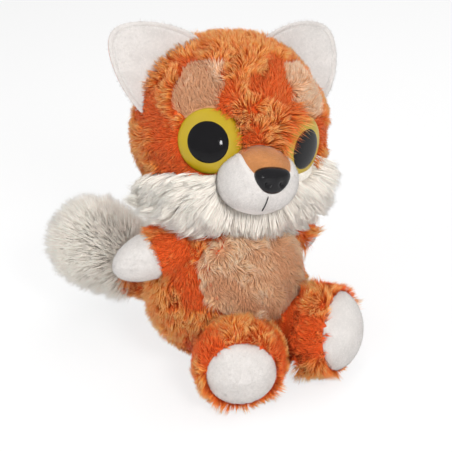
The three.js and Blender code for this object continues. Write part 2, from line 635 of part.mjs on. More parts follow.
function earParts(side, [out, faceTurn]) {
  const radial = at(side * Math.sin(out), 0, Math.cos(out));
  const reach = reachToSurface(head, head.centre, radial);
  const base = radial.clone().multiplyScalar(reach).add(head.centre);
  const facing = at(side * Math.sin(faceTurn), -Math.cos(faceTurn), 0);
  const back = facing.negate().projectOnPlane(radial).normalize();
  const across = back.clone().cross(radial);
  const frame = new THREE.Matrix4().makeBasis(across, back, radial).setPosition(
    radial.clone().multiplyScalar(-EAR_BASE_SINK).add(base));
  const pivot = headPoint(base);
  const axis = headDirection(across);
  const headSweep = swept(headForm(JOINT_GAP, ...FINE), pivot, axis, -EAR_FOLD_BACK, EAR_FOLD_FORWARD, 2);
  const layer = (edge, offset) => cut(solid(moved(earLayer(edge, offset), inHead(frame))), headSweep);
  const spacing = (EAR_LAYER + SEAM_GAP) / 2;
  return { front: layer(0, -spacing), back: layer(EAR_EDGE, spacing), pivot, axis };
}

const earTurns = {
  right: [RIGHT_EAR_OUT * DEGREE, RIGHT_EAR_FACE_TURN * DEGREE],
  left: [LEFT_EAR_OUT * DEGREE, LEFT_EAR_FACE_TURN * DEGREE],
};
for (const [name, side] of [['right', -1], ['left', 1]]) {
  const ear = earParts(side, earTurns[name]);
  add(`ear_front_${name}`, ear.front, WHITE_NAP);
  add(`ear_back_${name}`, ear.back, ORANGE);
  hinge(`ear_fold_${name}`, ear.pivot, ear.axis, -EAR_FOLD_BACK, EAR_FOLD_FORWARD);
}

// Limbs: a sleeve and an end panel over the filling
function limbSolid(plan, inset, sides, steps) {
  const obstacle = stuffed(body, JOINT_GAP + inset, ...(inset ? COARSE : FINE));
  const clear = swept(obstacle, plan.pivot, plan.axis, plan.low, plan.high);
  const blank = cut(limb(plan.size, inset, plan.matrix, sides, steps), clear);
  const whole = cut(blank.add(ball(plan.ballRadius - inset, plan.pivot)), below(inset));
  return plan.underHead ? cut(whole, underTurningHead(plan, inset)) : whole;
}

function limbShell(plan, sides, steps) {
  return cut(limbSolid(plan, 0, sides, steps), limbSolid(plan, FABRIC, 8, 2));
}

// What the head sweeps through as it turns and nods, seen from an arm that lifts.
function underTurningHead(plan, grow) {
  const forms = [headForm(HEAD_ROOM + grow, ...COARSE), ruffForm(HEAD_ROOM + grow, 10, 6)];
  const places = [];
  for (const lift of [plan.low, 0, plan.high]) {
    const fromArm = turnAbout(plan.pivot, plan.axis, -lift);
    places.push(rod(NECK_SEAM_RADIUS + JOINT_GAP + grow, 0, OVERRUN, fromArm.clone().multiply(neckUpright)));
    for (const turn of [-1, -1 / 2, 0, 1 / 2, 1]) {
      for (const nod of [-1, 1]) {
        const pose = turnAbout(neck, Z, turn * NECK_HALF_TURN).multiply(turnAbout(neck, X, nod * NECK_HALF_NOD));
        places.push(...forms.map((form) => solid(moved(form, fromArm.clone().multiply(pose)))));
      }
    }
  }
  return joined(...places);
}

for (const name of ['right', 'left']) {
  const plan = arms[name];
  const shell = limbShell(plan, 14, 3);
  const end = (from) => rod(OVERRUN, from, OVERRUN * 2, plan.matrix, 8);
  add(`arm_sleeve_${name}`, cut(shell, end(CUFF_REACH)), ORANGE);
  add(`paw_${name}`, shell.intersect(end(CUFF_REACH + SEAM_GAP)), WHITE_NAP);
  add(`arm_stuffing_${name}`, limbSolid(plan, FABRIC + SEAM_GAP, 8, 2), FILLING);
  hinge(`arm_lift_${name}`, plan.pivot, plan.axis, plan.low, plan.high);
}

for (const [name, side] of [['right', -1], ['left', 1]]) {
  const plan = legs[name];
  const shell = limbShell(plan, 16, 4);
  const soleOrigin = at(0, LEG_REACH, 0).applyMatrix4(plan.matrix);
  const [splay, rise] = [splays[name], SOLE_RISE * DEGREE];
  const facing = at(side * Math.sin(splay) * Math.cos(rise), -Math.cos(splay) * Math.cos(rise), Math.sin(rise));
  const soleFrame = frameAlong(soleOrigin, facing);
  const soleBar = (grow) => rod(SOLE_RADIUS + grow, 0, OVERRUN, soleFrame, 24);
  add(`leg_skin_${name}`, cut(shell, soleBar(SEAM_GAP)), ORANGE);
  add(`foot_sole_${name}`, shell.intersect(soleBar(0)), WHITE_NAP);
  add(`leg_stuffing_${name}`, limbSolid(plan, FABRIC + SEAM_GAP, 8, 2), FILLING);
  hinge(`leg_lift_${name}`, plan.pivot, plan.axis, plan.low, plan.high);
}

const tailShell = limbShell(tail, 14, 3);
const tailTipFrom = tailSize.reach * (1 - TAIL_WHITE_SHARE);
const tailEndBlock = (from) => rod(OVERRUN, from, tailSize.reach + OVERRUN, tail.matrix, 8);
add('tail_base', cut(tailShell, tailEndBlock(tailTipFrom)), ORANGE);
add('tail_tip', tailShell.intersect(tailEndBlock(tailTipFrom + SEAM_GAP)), WHITE_PILE);
add('tail_stuffing', limbSolid(tail, FABRIC + SEAM_GAP, 8, 2), FILLING);
hinge('tail_wag', tail.pivot, tail.axis, tail.low, tail.high);
hinge('neck_turn', neck, Z, -NECK_HALF_TURN, NECK_HALF_TURN);
hinge('neck_nod', neck, X, -NECK_HALF_NOD, NECK_HALF_NOD);

export default fox;
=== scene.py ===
"""A seated plush fox: stuffed cloth forms, pile fabrics drawn fibre by fibre, moulded eyes and nose.

Sizes are in millimetres until a mesh is made, and each piece rides on the body of the frame that carries it.
"""

import math
from collections import namedtuple

import bpy
import numpy as np
from mathutils import Matrix


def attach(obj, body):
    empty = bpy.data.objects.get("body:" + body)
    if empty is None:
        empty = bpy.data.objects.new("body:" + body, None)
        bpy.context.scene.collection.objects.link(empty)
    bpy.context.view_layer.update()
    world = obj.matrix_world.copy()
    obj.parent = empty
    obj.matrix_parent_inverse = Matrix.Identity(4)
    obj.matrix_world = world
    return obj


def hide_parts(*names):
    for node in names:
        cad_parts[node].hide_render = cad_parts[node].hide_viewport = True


bl_info = {
    "name": "Plush fox",
    "version": (1, 0, 0),
    "blender": (4, 5, 0),
    "location": "3D View > Sidebar > Fox",
    "description": "Builds a seated plush fox over its frame of solids",
    "category": "Object",
}

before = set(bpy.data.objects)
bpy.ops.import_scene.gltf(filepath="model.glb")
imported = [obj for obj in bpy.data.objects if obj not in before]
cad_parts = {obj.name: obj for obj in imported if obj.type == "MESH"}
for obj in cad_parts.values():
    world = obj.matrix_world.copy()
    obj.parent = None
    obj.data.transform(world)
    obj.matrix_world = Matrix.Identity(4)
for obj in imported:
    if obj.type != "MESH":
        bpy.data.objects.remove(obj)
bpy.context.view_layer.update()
MM = 0.001
SIDES = (("right", -1), ("left", 1))

Form = namedtuple("Form", "half centre low_share place")
Limb = namedtuple("Limb", "root end reach bulge tall")
Roots = namedtuple("Roots", "points normals")

# Cloth sizes and places, as in the solids but for the belly's shift, the right cheek's drop and the left sole
NECK_HEIGHT = 69.0
HEAD_TURN, HEAD_TILT, HEAD_PITCH = -10.0, 17.0, -21.0
EYE_RADIUS, EYE_DOME, EYE_RIM, EYE_SINK = 14.3, 5.2, 1.2, 2.8
EYE_TURNS = {"right": (35.0, 10.0), "left": (32.0, 12.5)}
PUPIL_RADIUS, PUPIL_PROUD, PUPIL_DEPTH = 9.2, 0.5, 1.1
BROW_HALF, BROW_LEAN, BROW_SINK, BROW_SQUARENESS = (11.0, 13.5), -12.0, 12.0, 3.0
BROW_TURNS = {"right": (43.5, 22.0), "left": (38.5, 24.0)}
RUFF_TOP_DROP, RUFF_LOW_DROP, RUFF_BACK, CHEEK_DROP = 15.0, 37.0, 13.0, 6.0
BELLY_HALF, BELLY_MID_HEIGHT, BELLY_SIDE_SHIFT = (29.5, 22.0), 53.0, 5.5
BRIDGE_HALF, BRIDGE_LEAN, BRIDGE_SQUARENESS = (11.6, 14.7), 54.0, 2.6
NOSE_HALF, NOSE_SINK, NOSE_RISE, NOSE_SQUARENESS, NOSE_SWELL = (7.6, 4.4, 5.8), 1.2, 0.3, 0.86, 0.3
NOSTRIL_OUT, NOSTRIL_DROP, NOSTRIL_RADIUS, NOSTRIL_DEPTH = 3.2, 1.6, 1.25, 1.5
EAR_HALF, EAR_BASE_SINK, EAR_DISH, EAR_TIP_SHARE = (22.0, 29.0), 2.0, 5.0, 0.32
EAR_TURNS = {"right": (54.5, 9.0), "left": (46.5, 2.0)}
EAR_MIDDLE, EAR_LAYER_HALF = 10.0, 0.95
ARM = Limb(10.5, 10.6, 10.0, 20.0, 10.6)
ARM_FORWARD, CUFF_REACH = 1.5, 10.5
ARM_ROOTS = {"right": (67.0, (-0.97, 0.13, -0.14)), "left": (55.0, (0.69, 0.39, -0.61))}
LEG = Limb(10.5, 19.6, 22.5, 17.0, 20.0)
LEG_ROOTS = {"right": (9.2, 18.0, 24.0), "left": (12.0, 24.0, 35.0)}
SOLE_RISE, SOLE_WIDTHS = 5.0, {"right": 15.5, "left": 18.2}
BETWEEN_FEET = (10.0, -38.0, 3.0)
TAIL_ROOT, TAIL_END = (-6.0, 22.0, 18.0), (-38.0, 70.0, 42.0)
TAIL = Limb(8.0, 19.0, math.dist(TAIL_ROOT, TAIL_END), 18.0, 19.0)
TAIL_SEAM = TAIL.reach * 0.58

# A station past the end of every limb
PAST_LIMB = 99.0

# The gathered neck, a rolled ring with pleats: its radius, height, roll across and up, and slope
NECK_RADIUS, NECK_TOP, NECK_ROLL, NECK_SLOPE = 14.0, 75.9, (1.7, 0.9), 0.45
PLEATS, PLEAT_DEPTHS = 26, (0.35, 0.3)

# Gaps between cloths, and how high cloth and fibres stay over the table
NECK_GAP, SEAM_GAP, COVER_OVER_TABLE, PILE_OVER_TABLE = 2.4, 0.3, 0.3, 0.15
SEAM_PULL, SEAM_WIDTH = 0.9, 1.1

# The cloth simulation: pressure, the furthest that a point may move, the copy's scale and the frames it runs
CLOTH_PRESSURE, CLOTH_CAP, COPY_SCALE, CLOTH_FRAMES = 10.0, 0.9, 10, 20

# Grid steps on a side of each form, and halvings in a search for a surface
BODY_STEPS, HEAD_STEPS, RUFF_STEPS, MUZZLE_STEPS, NOSE_STEPS = 24, 28, 36, 20, 20
LIMB_RINGS, LIMB_STATIONS, EAR_COLUMNS = 12, 60, 64
HALVINGS, EAR_HALVINGS, FAR_OFF = 36, 20, 120.0

# Fibres: how many for each square millimetre, their width, how deep they are rooted, and triangles in a piece
NAP_DENSITY, RUFF_DENSITY, TAIL_DENSITY = 6.0, 4.1, 3.9
PLUSH_WIDTH, NAP_WIDTH, RUFF_WIDTH, TAIL_WIDTH = 0.37, 0.26, 0.36, 0.38
ROOT_DEPTH, FIBRE_FLATNESS, PIECE_LIMIT = 0.3, 0.7, 190000

# Patterns in each metre: knitted loops are 0.9 mm wide, tufts of nap 1.1 mm and clouds of shade 8 and 11 mm
KNIT_LOOPS, KNIT_CLOUDS = 1100.0, 90.0
VELOUR_TUFTS, VELOUR_CLOUDS = 900.0, 130.0
PITS_TO_CLOUDS = 6

# The camera at the photograph's angle, and the photograph's width in pixels
VIEW_TURN, VIEW_HEIGHT, VIEW_ROLL = -26.0, 29.0, -8.0
VIEW_SHIFT, VIEW_AWAY, VIEW_AIM = (2.35, 5.6), 520.0, (0, 0, 60)
LENS, SENSOR, PHOTO_SIDE = 88.2, 36.0, 452

# Lamps: millimetres towards the camera, to its right, up in its frame and straight up, metres wide, and watts
LAMPS = {
    "key": (510, 150, 100, 0, 0.14, 1.5),
    "fill": (380, -400, 160, 0, 0.5, 0.9),
    "glint": (490, -78, -151, 0, 0.045, 0.25),
    "rim": (-260, 120, 0, 620, 0.5, 1.0),
}
LAMP_AIM = (0, 0, 70)
FLOOR_RADIUS, FLOOR_SIDES, FLOOR_DROP, FLOOR_GLOW, SKY_LIGHT = 1600, 64, 0.2, 0.72, 0.66

# Pixels of the photograph, across and down, round which the orange pile is ruffled, where the weight is above
# nought, or smooth, where it is below, with the reach of a spot in pixels and the strength of a weight of 1
# Ruffled pile shows pale tips, partly a painted highlight, so these spots also place that highlight.
BRUSHED_SPOTS = (
    (237, 42, 0.9), (223, 65, 0.9), (250, 55, 0.9), (280, 52, 0.7), (163, 72, 0.8), (263, 118, 1.8),
    (140, 145, 0.9), (160, 112, -1.1), (167, 152, -1.1), (237, 128, -1.0), (227, 95, -0.4), (283, 88, -0.9),
    (162, 305, 1.0), (175, 325, 1.0), (158, 290, 1.0), (178, 253, -1.0), (188, 285, -1.0),
    (232, 327, 1.0), (208, 345, -0.9), (295, 323, -1.0), (305, 350, -0.9), (328, 370, 0.9),
)
SPOT_REACH, SPOT_STRENGTH = 20.0, 1.3


# Arrays, frames and noise


def linear(colour):
    """An sRGB hex colour as linear red, green, blue and 1."""
    parts = [int(colour[i : i + 2], 16) / 255 for i in (1, 3, 5)]
    return tuple(c / 12.92 if c <= 0.04045 else ((c + 0.055) / 1.055) ** 2.4 for c in parts) + (1.0,)


def unit(vectors):
    """Each vector divided by its length."""
    vectors = np.asarray(vectors, float)
    return vectors / np.maximum(np.linalg.norm(vectors, axis=-1, keepdims=True), 1e-9)


def ease(low, high, values):
    """Smooth step from 0 at low to 1 at high."""
    t = np.clip((values - low) / (high - low), 0, 1)
    return t * t * (3 - 2 * t)


def circle(count):
    """Angles evenly spaced all the way round."""
    return np.linspace(0, 2 * np.pi, count, endpoint=False)


def turned(axis, degrees):
    """The 4 by 4 matrix of a turn about X, Y or Z through the origin."""
    return np.array(Matrix.Rotation(math.radians(degrees), 4, axis))


def frame_of(x, y, z, origin):
    """The 4 by 4 matrix of a frame with three given axes and an origin."""
    matrix = np.eye(4)
    matrix[:3] = np.stack([x, y, z, origin], 1)
    return matrix


def frame_along(origin, direction, up=(0, 0, 1)):
    """A frame whose Y runs along a direction, with Z as near to up as that allows."""
    y = unit(direction)
    x = unit(np.cross(y, up))
    return frame_of(x, y, np.cross(x, y), origin)


def placed(matrix, points):
    """Points carried by a 4 by 4 matrix."""
    return points @ matrix[:3, :3].T + matrix[:3, 3]


def seen_from(place, points):
    """Points of the whole in the coordinates of a frame."""
    return placed(np.linalg.inv(place), points)


def drift(points, size, seed):
    """Smooth noise of about -1 to 1: a sum of sine waves near one wavelength, in seeded directions."""
    waves = 7
    rng = np.random.default_rng(seed)
    ways = unit(rng.normal(size=(waves, 3))) / (size * rng.uniform(0.7, 1.5, (waves, 1)))
    heights = np.sin(2 * np.pi * points @ ways.T + rng.uniform(0, 2 * np.pi, waves))
    return np.clip(heights.sum(1) / math.sqrt(waves), -1.6, 1.6)


def drift_vectors(points, size, seed):
    """Three smooth noises, one for each axis."""
    return np.stack([drift(points, size, seed + k) for k in range(3)], 1)


def tangent(vectors, normals):
    """The part of each vector that lies in the surface, at length 1."""
    return unit(vectors - (vectors * normals).sum(1, keepdims=True) * normals)


# The camera's place

CAMERA = turned("Z", VIEW_TURN) @ turned("X", 90.0 - VIEW_HEIGHT) @ turned("Z", VIEW_ROLL)
CAMERA[:3, 3] = CAMERA[:3, :3] @ (*VIEW_SHIFT, VIEW_AWAY) + VIEW_AIM


def seen_at(points):
    """Where points lie in the photograph, in its pixels across and down."""
    local = seen_from(CAMERA, points)
    scale = LENS / SENSOR * PHOTO_SIDE / -local[:, 2]
    return PHOTO_SIDE / 2 + scale * local[:, 0], PHOTO_SIDE / 2 - scale * local[:, 1]


# Stuffed forms

UPRIGHT = np.eye(4)
HEAD_FRAME = turned("Z", HEAD_TURN) @ turned("Y", HEAD_TILT) @ turned("X", HEAD_PITCH)
HEAD_FRAME[2, 3] = NECK_HEIGHT
HEAD_CENTRE = np.array([3.5, -3.0, 43.5])
BODY = Form(np.array([35.5, 33.5, 39.5]), np.array([0, 0, 39.0]), 0.05, UPRIGHT)
HEAD = Form(np.array([43.0, 39.5, 41.5]), HEAD_CENTRE, 0.03, HEAD_FRAME)
PLAIN_HEAD = HEAD._replace(place=UPRIGHT)
RUFF = Form(np.array([43.5, 32.5, 24.5]), HEAD_CENTRE + (0, -8.0, -20.0), 0.04, HEAD_FRAME)
MUZZLE = Form(np.array([17.5, 17.0, 14.5]), HEAD_CENTRE + (-1.5, -36.0, -23.0), 0.0, HEAD_FRAME)


def swollen(half, swell):
    """Half sizes with the two across the height times a swelling that changes along it."""
    return half * np.concatenate([swell, swell, np.ones_like(swell)], 1)


def drawn_out(form, sphere, grow=0.0):
    """A stuffed form: unit sphere points times half sizes that widen towards its foot, then put in place."""
    sizes = swollen(form.half, 1 - form.low_share * sphere[:, 2:]) + grow
    return placed(form.place, sphere * sizes + form.centre)


def depth_in(form, points, grow=0.0):
    """How far out points are in a stuffed form: 0 at its centre and 1 on its surface."""
    local = seen_from(form.place, points) - form.centre
    swell = 1 - form.low_share * local[:, 2:] / (form.half[2] + grow)
    return np.linalg.norm(local / (swollen(form.half, swell) + grow), axis=1)


def middle_of(form):
    """The centre of a stuffed form in the frame of the whole."""
    return placed(form.place, form.centre[None])[0]


def in_head(points):
    """Points measured from the middle of the head, along its own axes."""
    return seen_from(HEAD_FRAME, points) - HEAD_CENTRE


def head_way(x, y, z):
    """A direction of the head's own frame in the frame of the whole."""
    return HEAD_FRAME[:3, :3] @ np.array([x, y, z], float)


def outward_of(form, points):
    """The outward direction of a stuffed form at points near its surface: the slope of depth_in."""
    steps = np.eye(3) * 0.05
    return unit(np.stack([depth_in(form, points + s) - depth_in(form, points - s) for s in steps], 1))


def surface_along(form, origins, direction, grow=0.0):
    """Where lines from points inside a form leave its surface, found by halving."""
    near, far = np.zeros(len(origins)), np.full(len(origins), FAR_OFF)
    for _ in range(HALVINGS):
        middle = (near + far) / 2
        inside = depth_in(form, origins + middle[:, None] * direction, grow) < 1
        near, far = np.where(inside, middle, near), np.where(inside, far, middle)
    return origins + near[:, None] * direction


def kept_outside(form, points, grow):
    """Points inside a form moved out to its surface, straight away from its centre."""
    centre = middle_of(form)
    depth = np.maximum(depth_in(form, points, grow), 0.05)[:, None]
    return np.where(depth < 1, centre + (points - centre) / depth, points)


def over_table(points, height):
    """Points below a height over the table lifted to it."""
    return np.concatenate([points[:, :2], np.maximum(points[:, 2:], height)], 1)


def face_frame(side, out, rise, sink, lean=0.0):
    """A frame on the face, from where a direction turned out and up leaves the head. Its Y points out."""
    a, b = math.radians(out), math.radians(rise)
    way = np.array([side * math.sin(a) * math.cos(b), -math.cos(a) * math.cos(b), math.sin(b)])
    origin = surface_along(PLAIN_HEAD, HEAD_CENTRE[None], way)[0] - sink * way
    upright = (side * math.sin(math.radians(lean)), 0, math.cos(math.radians(lean)))
    return HEAD_FRAME @ frame_along(origin, way, upright)


def arm_place(name, side):
    """The frame of an arm, whose root lies on the body's side."""
    height, way = ARM_ROOTS[name]
    start = np.array([[side * ARM_FORWARD, 0, height]])
    reach = abs(surface_along(BODY, start, np.array([side, 0, 0]))[0, 0])
    return frame_along((side * reach, -ARM_FORWARD, height), way)


def leg_place(name, side):
    """The frame of a leg, which lies on the table with its foot turned out."""
    out, forward, splay = LEG_ROOTS[name]
    a = math.radians(splay)
    return frame_along((side * out, -forward, LEG.tall - 0.5), (side * math.sin(a), -math.cos(a), 0))


def ear_place(name, side):
    """The frame of an ear: Z runs up the ear from its base on the head, and Y is its back."""
    out, turn = (math.radians(a) for a in EAR_TURNS[name])
    radial = np.array([side * math.sin(out), 0, math.cos(out)])
    base = surface_along(PLAIN_HEAD, HEAD_CENTRE[None], radial)[0]
    facing = np.array([side * math.sin(turn), -math.cos(turn), 0])
    back = unit(-facing - radial * (-facing @ radial))
    return HEAD_FRAME @ frame_of(np.cross(back, radial), back, radial, base - radial * EAR_BASE_SINK)


EYE_PLACES = {
    name: face_frame(side, EYE_TURNS[name][0], -EYE_TURNS[name][1], EYE_SINK) for name, side in SIDES}
BROW_PLACES = {name: face_frame(side, *BROW_TURNS[name], BROW_SINK, BROW_LEAN) for name, side in SIDES}
BELLY_PLACE = frame_along((BELLY_SIDE_SHIFT, 0, BELLY_MID_HEIGHT), (0, -1, 0))
TAIL_PLACE = frame_along(TAIL_ROOT, np.subtract(TAIL_END, TAIL_ROOT))


def within(place, points, half, power=2.0):
    """How far out points are in an oval bar along a frame's Y: 0 on its axis, 1 on its side, 9 behind it."""
    local = seen_from(place, points)
    share = (np.abs(local[:, 0] / half[0]) ** power + np.abs(local[:, 2] / half[1]) ** power) ** (1 / power)
    return np.where(local[:, 1] > -12, share, 9.0)


def by_eye(name, points, grow=0.0):
    """How far out points are from an eye's axis: 1 at the edge of its ring, grown by a length."""
    return within(EYE_PLACES[name], points, (EYE_RADIUS + grow, EYE_RADIUS + grow))


def on_cheek(points, margin):
    """Whether points lie on the white cheek panels: low on the head and in front of its side seams."""
    local = in_head(points)
    top = -RUFF_TOP_DROP - CHEEK_DROP * ease(0.0, -9.0, local[:, 0])
    return (local[:, 2] < top + margin) & (local[:, 1] < RUFF_BACK + margin)


# Meshes


def sphere_of_squares(n):
    """Unit sphere as six squares: a grid (tan u, tan v, 1) on each side of a cube, brought to length 1."""
    line = np.tan(np.linspace(-np.pi / 4, np.pi / 4, n + 1))
    u, v = (a.ravel() for a in np.meshgrid(line, line, indexing="ij"))
    one = np.ones_like(u)
    sides = [(u, v, one), (v, u, -one), (one, u, v), (-one, v, u), (v, one, u), (u, -one, v)]
    points = unit(np.concatenate([np.stack(s, 1) for s in sides]))
    corner = (np.arange(n)[:, None] * (n + 1) + np.arange(n)).ravel()
    square = np.stack([corner, corner + n + 1, corner + n + 2, corner + 1], 1)
    faces = np.concatenate([square + k * (n + 1) ** 2 for k in range(6)])
    _, first, same = np.unique(np.round(points, 6), axis=0, return_index=True, return_inverse=True)
    return points[first], [same.ravel()[faces]]


def rings_about(radius, stations, columns):
    """Rings of points about the Y axis, one for each radius and station along it."""
    turn = circle(columns)
    along = np.repeat(stations[:, None], columns, 1)
    return np.stack([np.outer(radius, np.cos(turn)), along, np.outer(radius, np.sin(turn))], -1)


def grid_placed(place, grid):
    """A grid of points carried by a 4 by 4 matrix."""
    return placed(place, grid.reshape(-1, 3)).reshape(grid.shape)


def closed_round(rings):
    """A closed surface from rings of points: four-sided faces between rings, and a fan at each end."""
    rows, columns = rings.shape[:2]
    index = np.arange(rows * columns).reshape(rows, columns)
    after = np.roll(index, -1, 1)
    faces = np.stack([index[:-1], after[:-1], after[1:], index[1:]], -1).reshape(-1, 4)
    low, high = rows * columns, rows * columns + 1
    fans = np.concatenate([
        np.stack([after[0], index[0], np.full(columns, low)], 1),
        np.stack([index[-1], after[-1], np.full(columns, high)], 1),
    ])
    points = np.concatenate([rings.reshape(-1, 3), rings[:1].mean(1), rings[-1:].mean(1)])
    return points, [faces, fans]


def closed_sheet(outer, inner):
    """A closed sheet from two open grids of the same size, one on each face, joined round their edge."""
    rows, columns = outer.shape[:2]
    index = np.arange(rows * columns).reshape(rows, columns)
    face = np.stack([index[:-1, :-1], index[1:, :-1], index[1:, 1:], index[:-1, 1:]], -1).reshape(-1, 4)
    rim = np.concatenate([index[0, :-1], index[:-1, -1], index[-1, :0:-1], index[:0:-1, 0]])
    after = np.roll(rim, -1)
    wall = np.stack([rim, after, after + rows * columns, rim + rows * columns], 1)
    faces = np.concatenate([face, face[:, ::-1] + rows * columns, wall])
    return np.concatenate([outer.reshape(-1, 3), inner.reshape(-1, 3)]), [faces]


def triangles_of(groups):
    """Faces of three and four corners as triangles."""
    return np.concatenate([g[:, [0, k, k + 1]] for g in groups for k in range(1, g.shape[1] - 1)])


def faced_out(points, groups):
    """The same faces, turned over if the closed surface they make has a volume below nought."""
    a, b, c = (points[k] for k in triangles_of(groups).T)
    if (np.cross(a, b) * c).sum() < 0:
        groups = [g[:, ::-1] for g in groups]
    return groups


def mesh_of(name, points, groups):
    """A mesh from points in millimetres and arrays of faces, written as whole arrays."""
    me = bpy.data.meshes.new(name)
    corners = np.concatenate([g.ravel() for g in groups]).astype(np.int32)
    sizes = np.concatenate([np.full(len(g), g.shape[1]) for g in groups])
    me.vertices.add(len(points))
    me.vertices.foreach_set("co", (points * MM).astype(np.float32).ravel())
    me.loops.add(len(corners))
    me.loops.foreach_set("vertex_index", corners)
    me.polygons.add(len(sizes))
    me.polygons.foreach_set("loop_start", (np.cumsum(sizes) - sizes).astype(np.int32))
    me.update(calc_edges=True)
    me.shade_smooth()
    return me


def carried(name, me, material, body):
    """An object for a mesh, with its finish and the body that carries it."""
    ob = bpy.data.objects.new(name, me)
    bpy.context.scene.collection.objects.link(ob)
    me.materials.append(material)
    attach(ob, body)
    return ob


def piece(name, points, groups, material, body, replaces=(), rounds=0):
    """A piece from a closed surface, with its Subdivision, and the nodes that it stands for hidden."""
    ob = carried(name, mesh_of(name, points, faced_out(points, groups)), material, body)
    if rounds:
        finer = ob.modifiers.new("Rounding", "SUBSURF")
        finer.levels = finer.render_levels = rounds
    if replaces:
        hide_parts(*replaces)


def stuffed(points, groups, held, spare=0.05):
    """Cloth pressed out by its filling: Blender's Cloth, with no gravity, run for 20 frames on a copy of the
    cover whose seams are held, and no point let further than the cap from where it was cut. The cloth is cut
    larger by a share, so it puckers beside its seams. The copy is ten times the size, which suits the solver."""
    scene = bpy.context.scene
    copy = bpy.data.objects.new("copy", mesh_of("copy", points * COPY_SCALE, faced_out(points, groups)))
    scene.collection.objects.link(copy)
    copy.vertex_groups.new(name="seams").add([int(k) for k in np.flatnonzero(held)], 1.0, "REPLACE")
    cloth = copy.modifiers.new("Cloth", "CLOTH")
    cloth.settings.quality = 6
    cloth.settings.mass = 0.1
    cloth.settings.tension_stiffness = 5.0
    cloth.settings.compression_stiffness = 5.0
    cloth.settings.shear_stiffness = 5.0
    cloth.settings.bending_stiffness = 0.05
    cloth.settings.shrink_min = -spare
    cloth.settings.vertex_group_mass = "seams"
    cloth.settings.use_pressure = True
    cloth.settings.uniform_pressure_force = CLOTH_PRESSURE
    cloth.settings.effector_weights.gravity = 0.0
    cloth.collision_settings.use_collision = False
    cloth.point_cache.frame_start, cloth.point_cache.frame_end = 1, CLOTH_FRAMES
    for number in range(1, CLOTH_FRAMES + 1):
        scene.frame_set(number)
    shaped = copy.evaluated_get(bpy.context.evaluated_depsgraph_get()).to_mesh()
    moved = np.empty(len(points) * 3, np.float32)
    shaped.vertices.foreach_get("co", moved)
    bpy.data.objects.remove(copy)
    scene.frame_set(1)
    shift = moved.reshape(-1, 3) / MM / COPY_SCALE - points
    far = np.linalg.norm(shift, axis=1, keepdims=True)
    return points + shift * np.minimum(1, CLOTH_CAP / np.maximum(far, 1e-6))


def patch(form, place, half, rise, sink, rings, columns, power=2.0):
    """A sewn panel on a stuffed form, closed all round. Across it goes from its middle over its rolled edge
    to the middle of its back: the outline is an oval of two half sizes in the frame's XZ plane, carried along
    Y to the form's surface."""
    f = np.linspace(0.03, 1, rings)
    share = np.concatenate([f, [1.0], f[::-1]])
    lift = np.concatenate([rise * (1 - f**10), [-sink / 2], np.full(rings, -sink)])
    c, s = np.cos(circle(columns)), np.sin(circle(columns))
    x = half[0] * np.sign(c) * np.abs(c) ** (2 / power)
    z = half[1] * np.sign(s) * np.abs(s) ** (2 / power)
    flat = np.stack([share[:, None] * x, np.zeros((len(share), columns)), share[:, None] * z], -1)
    hit = surface_along(form, placed(place, flat.reshape(-1, 3)), place[:3, 1])
    points = hit + outward_of(form, hit) * np.repeat(lift, columns)[:, None]
    return closed_round(points.reshape(len(share), columns, 3))


def limb_rings(limb, place, start, stop, columns=40, grow=0.0, seams=()):
    """Rings of a limb about its frame's Y: the radius rises as a quarter circle from the root, passes by a
    smooth step to the end radius over the reach, and closes as a quarter oval as long as the bulge. Start and
    stop are stations along Y, and at each seam the cloth is drawn in."""
    angle = np.linspace(0.06, np.pi / 2, LIMB_RINGS)
    rise = np.linspace(0, 1, LIMB_RINGS * 3)[1:]
    stepped = limb.root + (limb.end - limb.root) * rise**2 * (3 - 2 * rise)
    radius = np.concatenate([limb.root * np.sin(angle), stepped, limb.end * np.cos(angle - 0.06)[1:]])
    rounded = limb.reach + limb.bulge * np.sin(angle - 0.06)[1:]
    along = np.concatenate([-limb.root * np.cos(angle), limb.reach * rise, rounded])
    stations = np.linspace(max(start, along[0]), min(stop, along[-1]), LIMB_STATIONS)
    girth = np.interp(stations, along, radius) + grow
    for seam in seams:
        girth = girth - SEAM_PULL * np.exp(-(((stations - seam) / SEAM_WIDTH) ** 2))
    rings = rings_about(girth, stations, columns)
    rings[..., 2] = rings[..., 2] * limb.tall / limb.end
    return grid_placed(place, rings)


# Fibres


def scattered(points, groups, each_mm2, seed):
    """Fibre roots spread over a surface: evenly by area over its triangles, and at random in each one."""
    rng = np.random.default_rng(seed)
    corners = triangles_of(faced_out(points, groups))
    a, b, c = (points[k] for k in corners.T)
    cross = np.cross(b - a, c - a)
    area = np.linalg.norm(cross, axis=1) / 2
    normals = np.zeros_like(points)
    for k in range(3):
        for axis in range(3):
            normals[:, axis] += np.bincount(corners[:, k], cross[:, axis], len(points))
    normals = unit(normals)
    count = int(area.sum() * each_mm2)
    steps = (np.arange(count) + rng.random(count)) / count * area.sum()
    picked = np.minimum(np.searchsorted(np.cumsum(area), steps), len(area) - 1)
    u, v = rng.random((2, count))
    over = u + v > 1
    u, v = np.where(over, 1 - u, u)[:, None], np.where(over, 1 - v, v)[:, None]
    i, j, k = corners[picked].T

    def blended(field):
        return field[i] * (1 - u - v) + field[j] * u + field[k] * v

    return Roots(blended(points), unit(blended(normals)))


def chosen(roots, mask):
    """The roots for which a mask holds."""
    return Roots(roots.points[mask], roots.normals[mask])


def thinned(roots, share, seed):
    """The roots with only a share of them kept at the back, where the brushed pile lies thinner."""
    kept = np.where(roots.points[:, 1] > 12, share, 1.0)
    return chosen(roots, np.random.default_rng(seed).random(len(kept)) < kept)


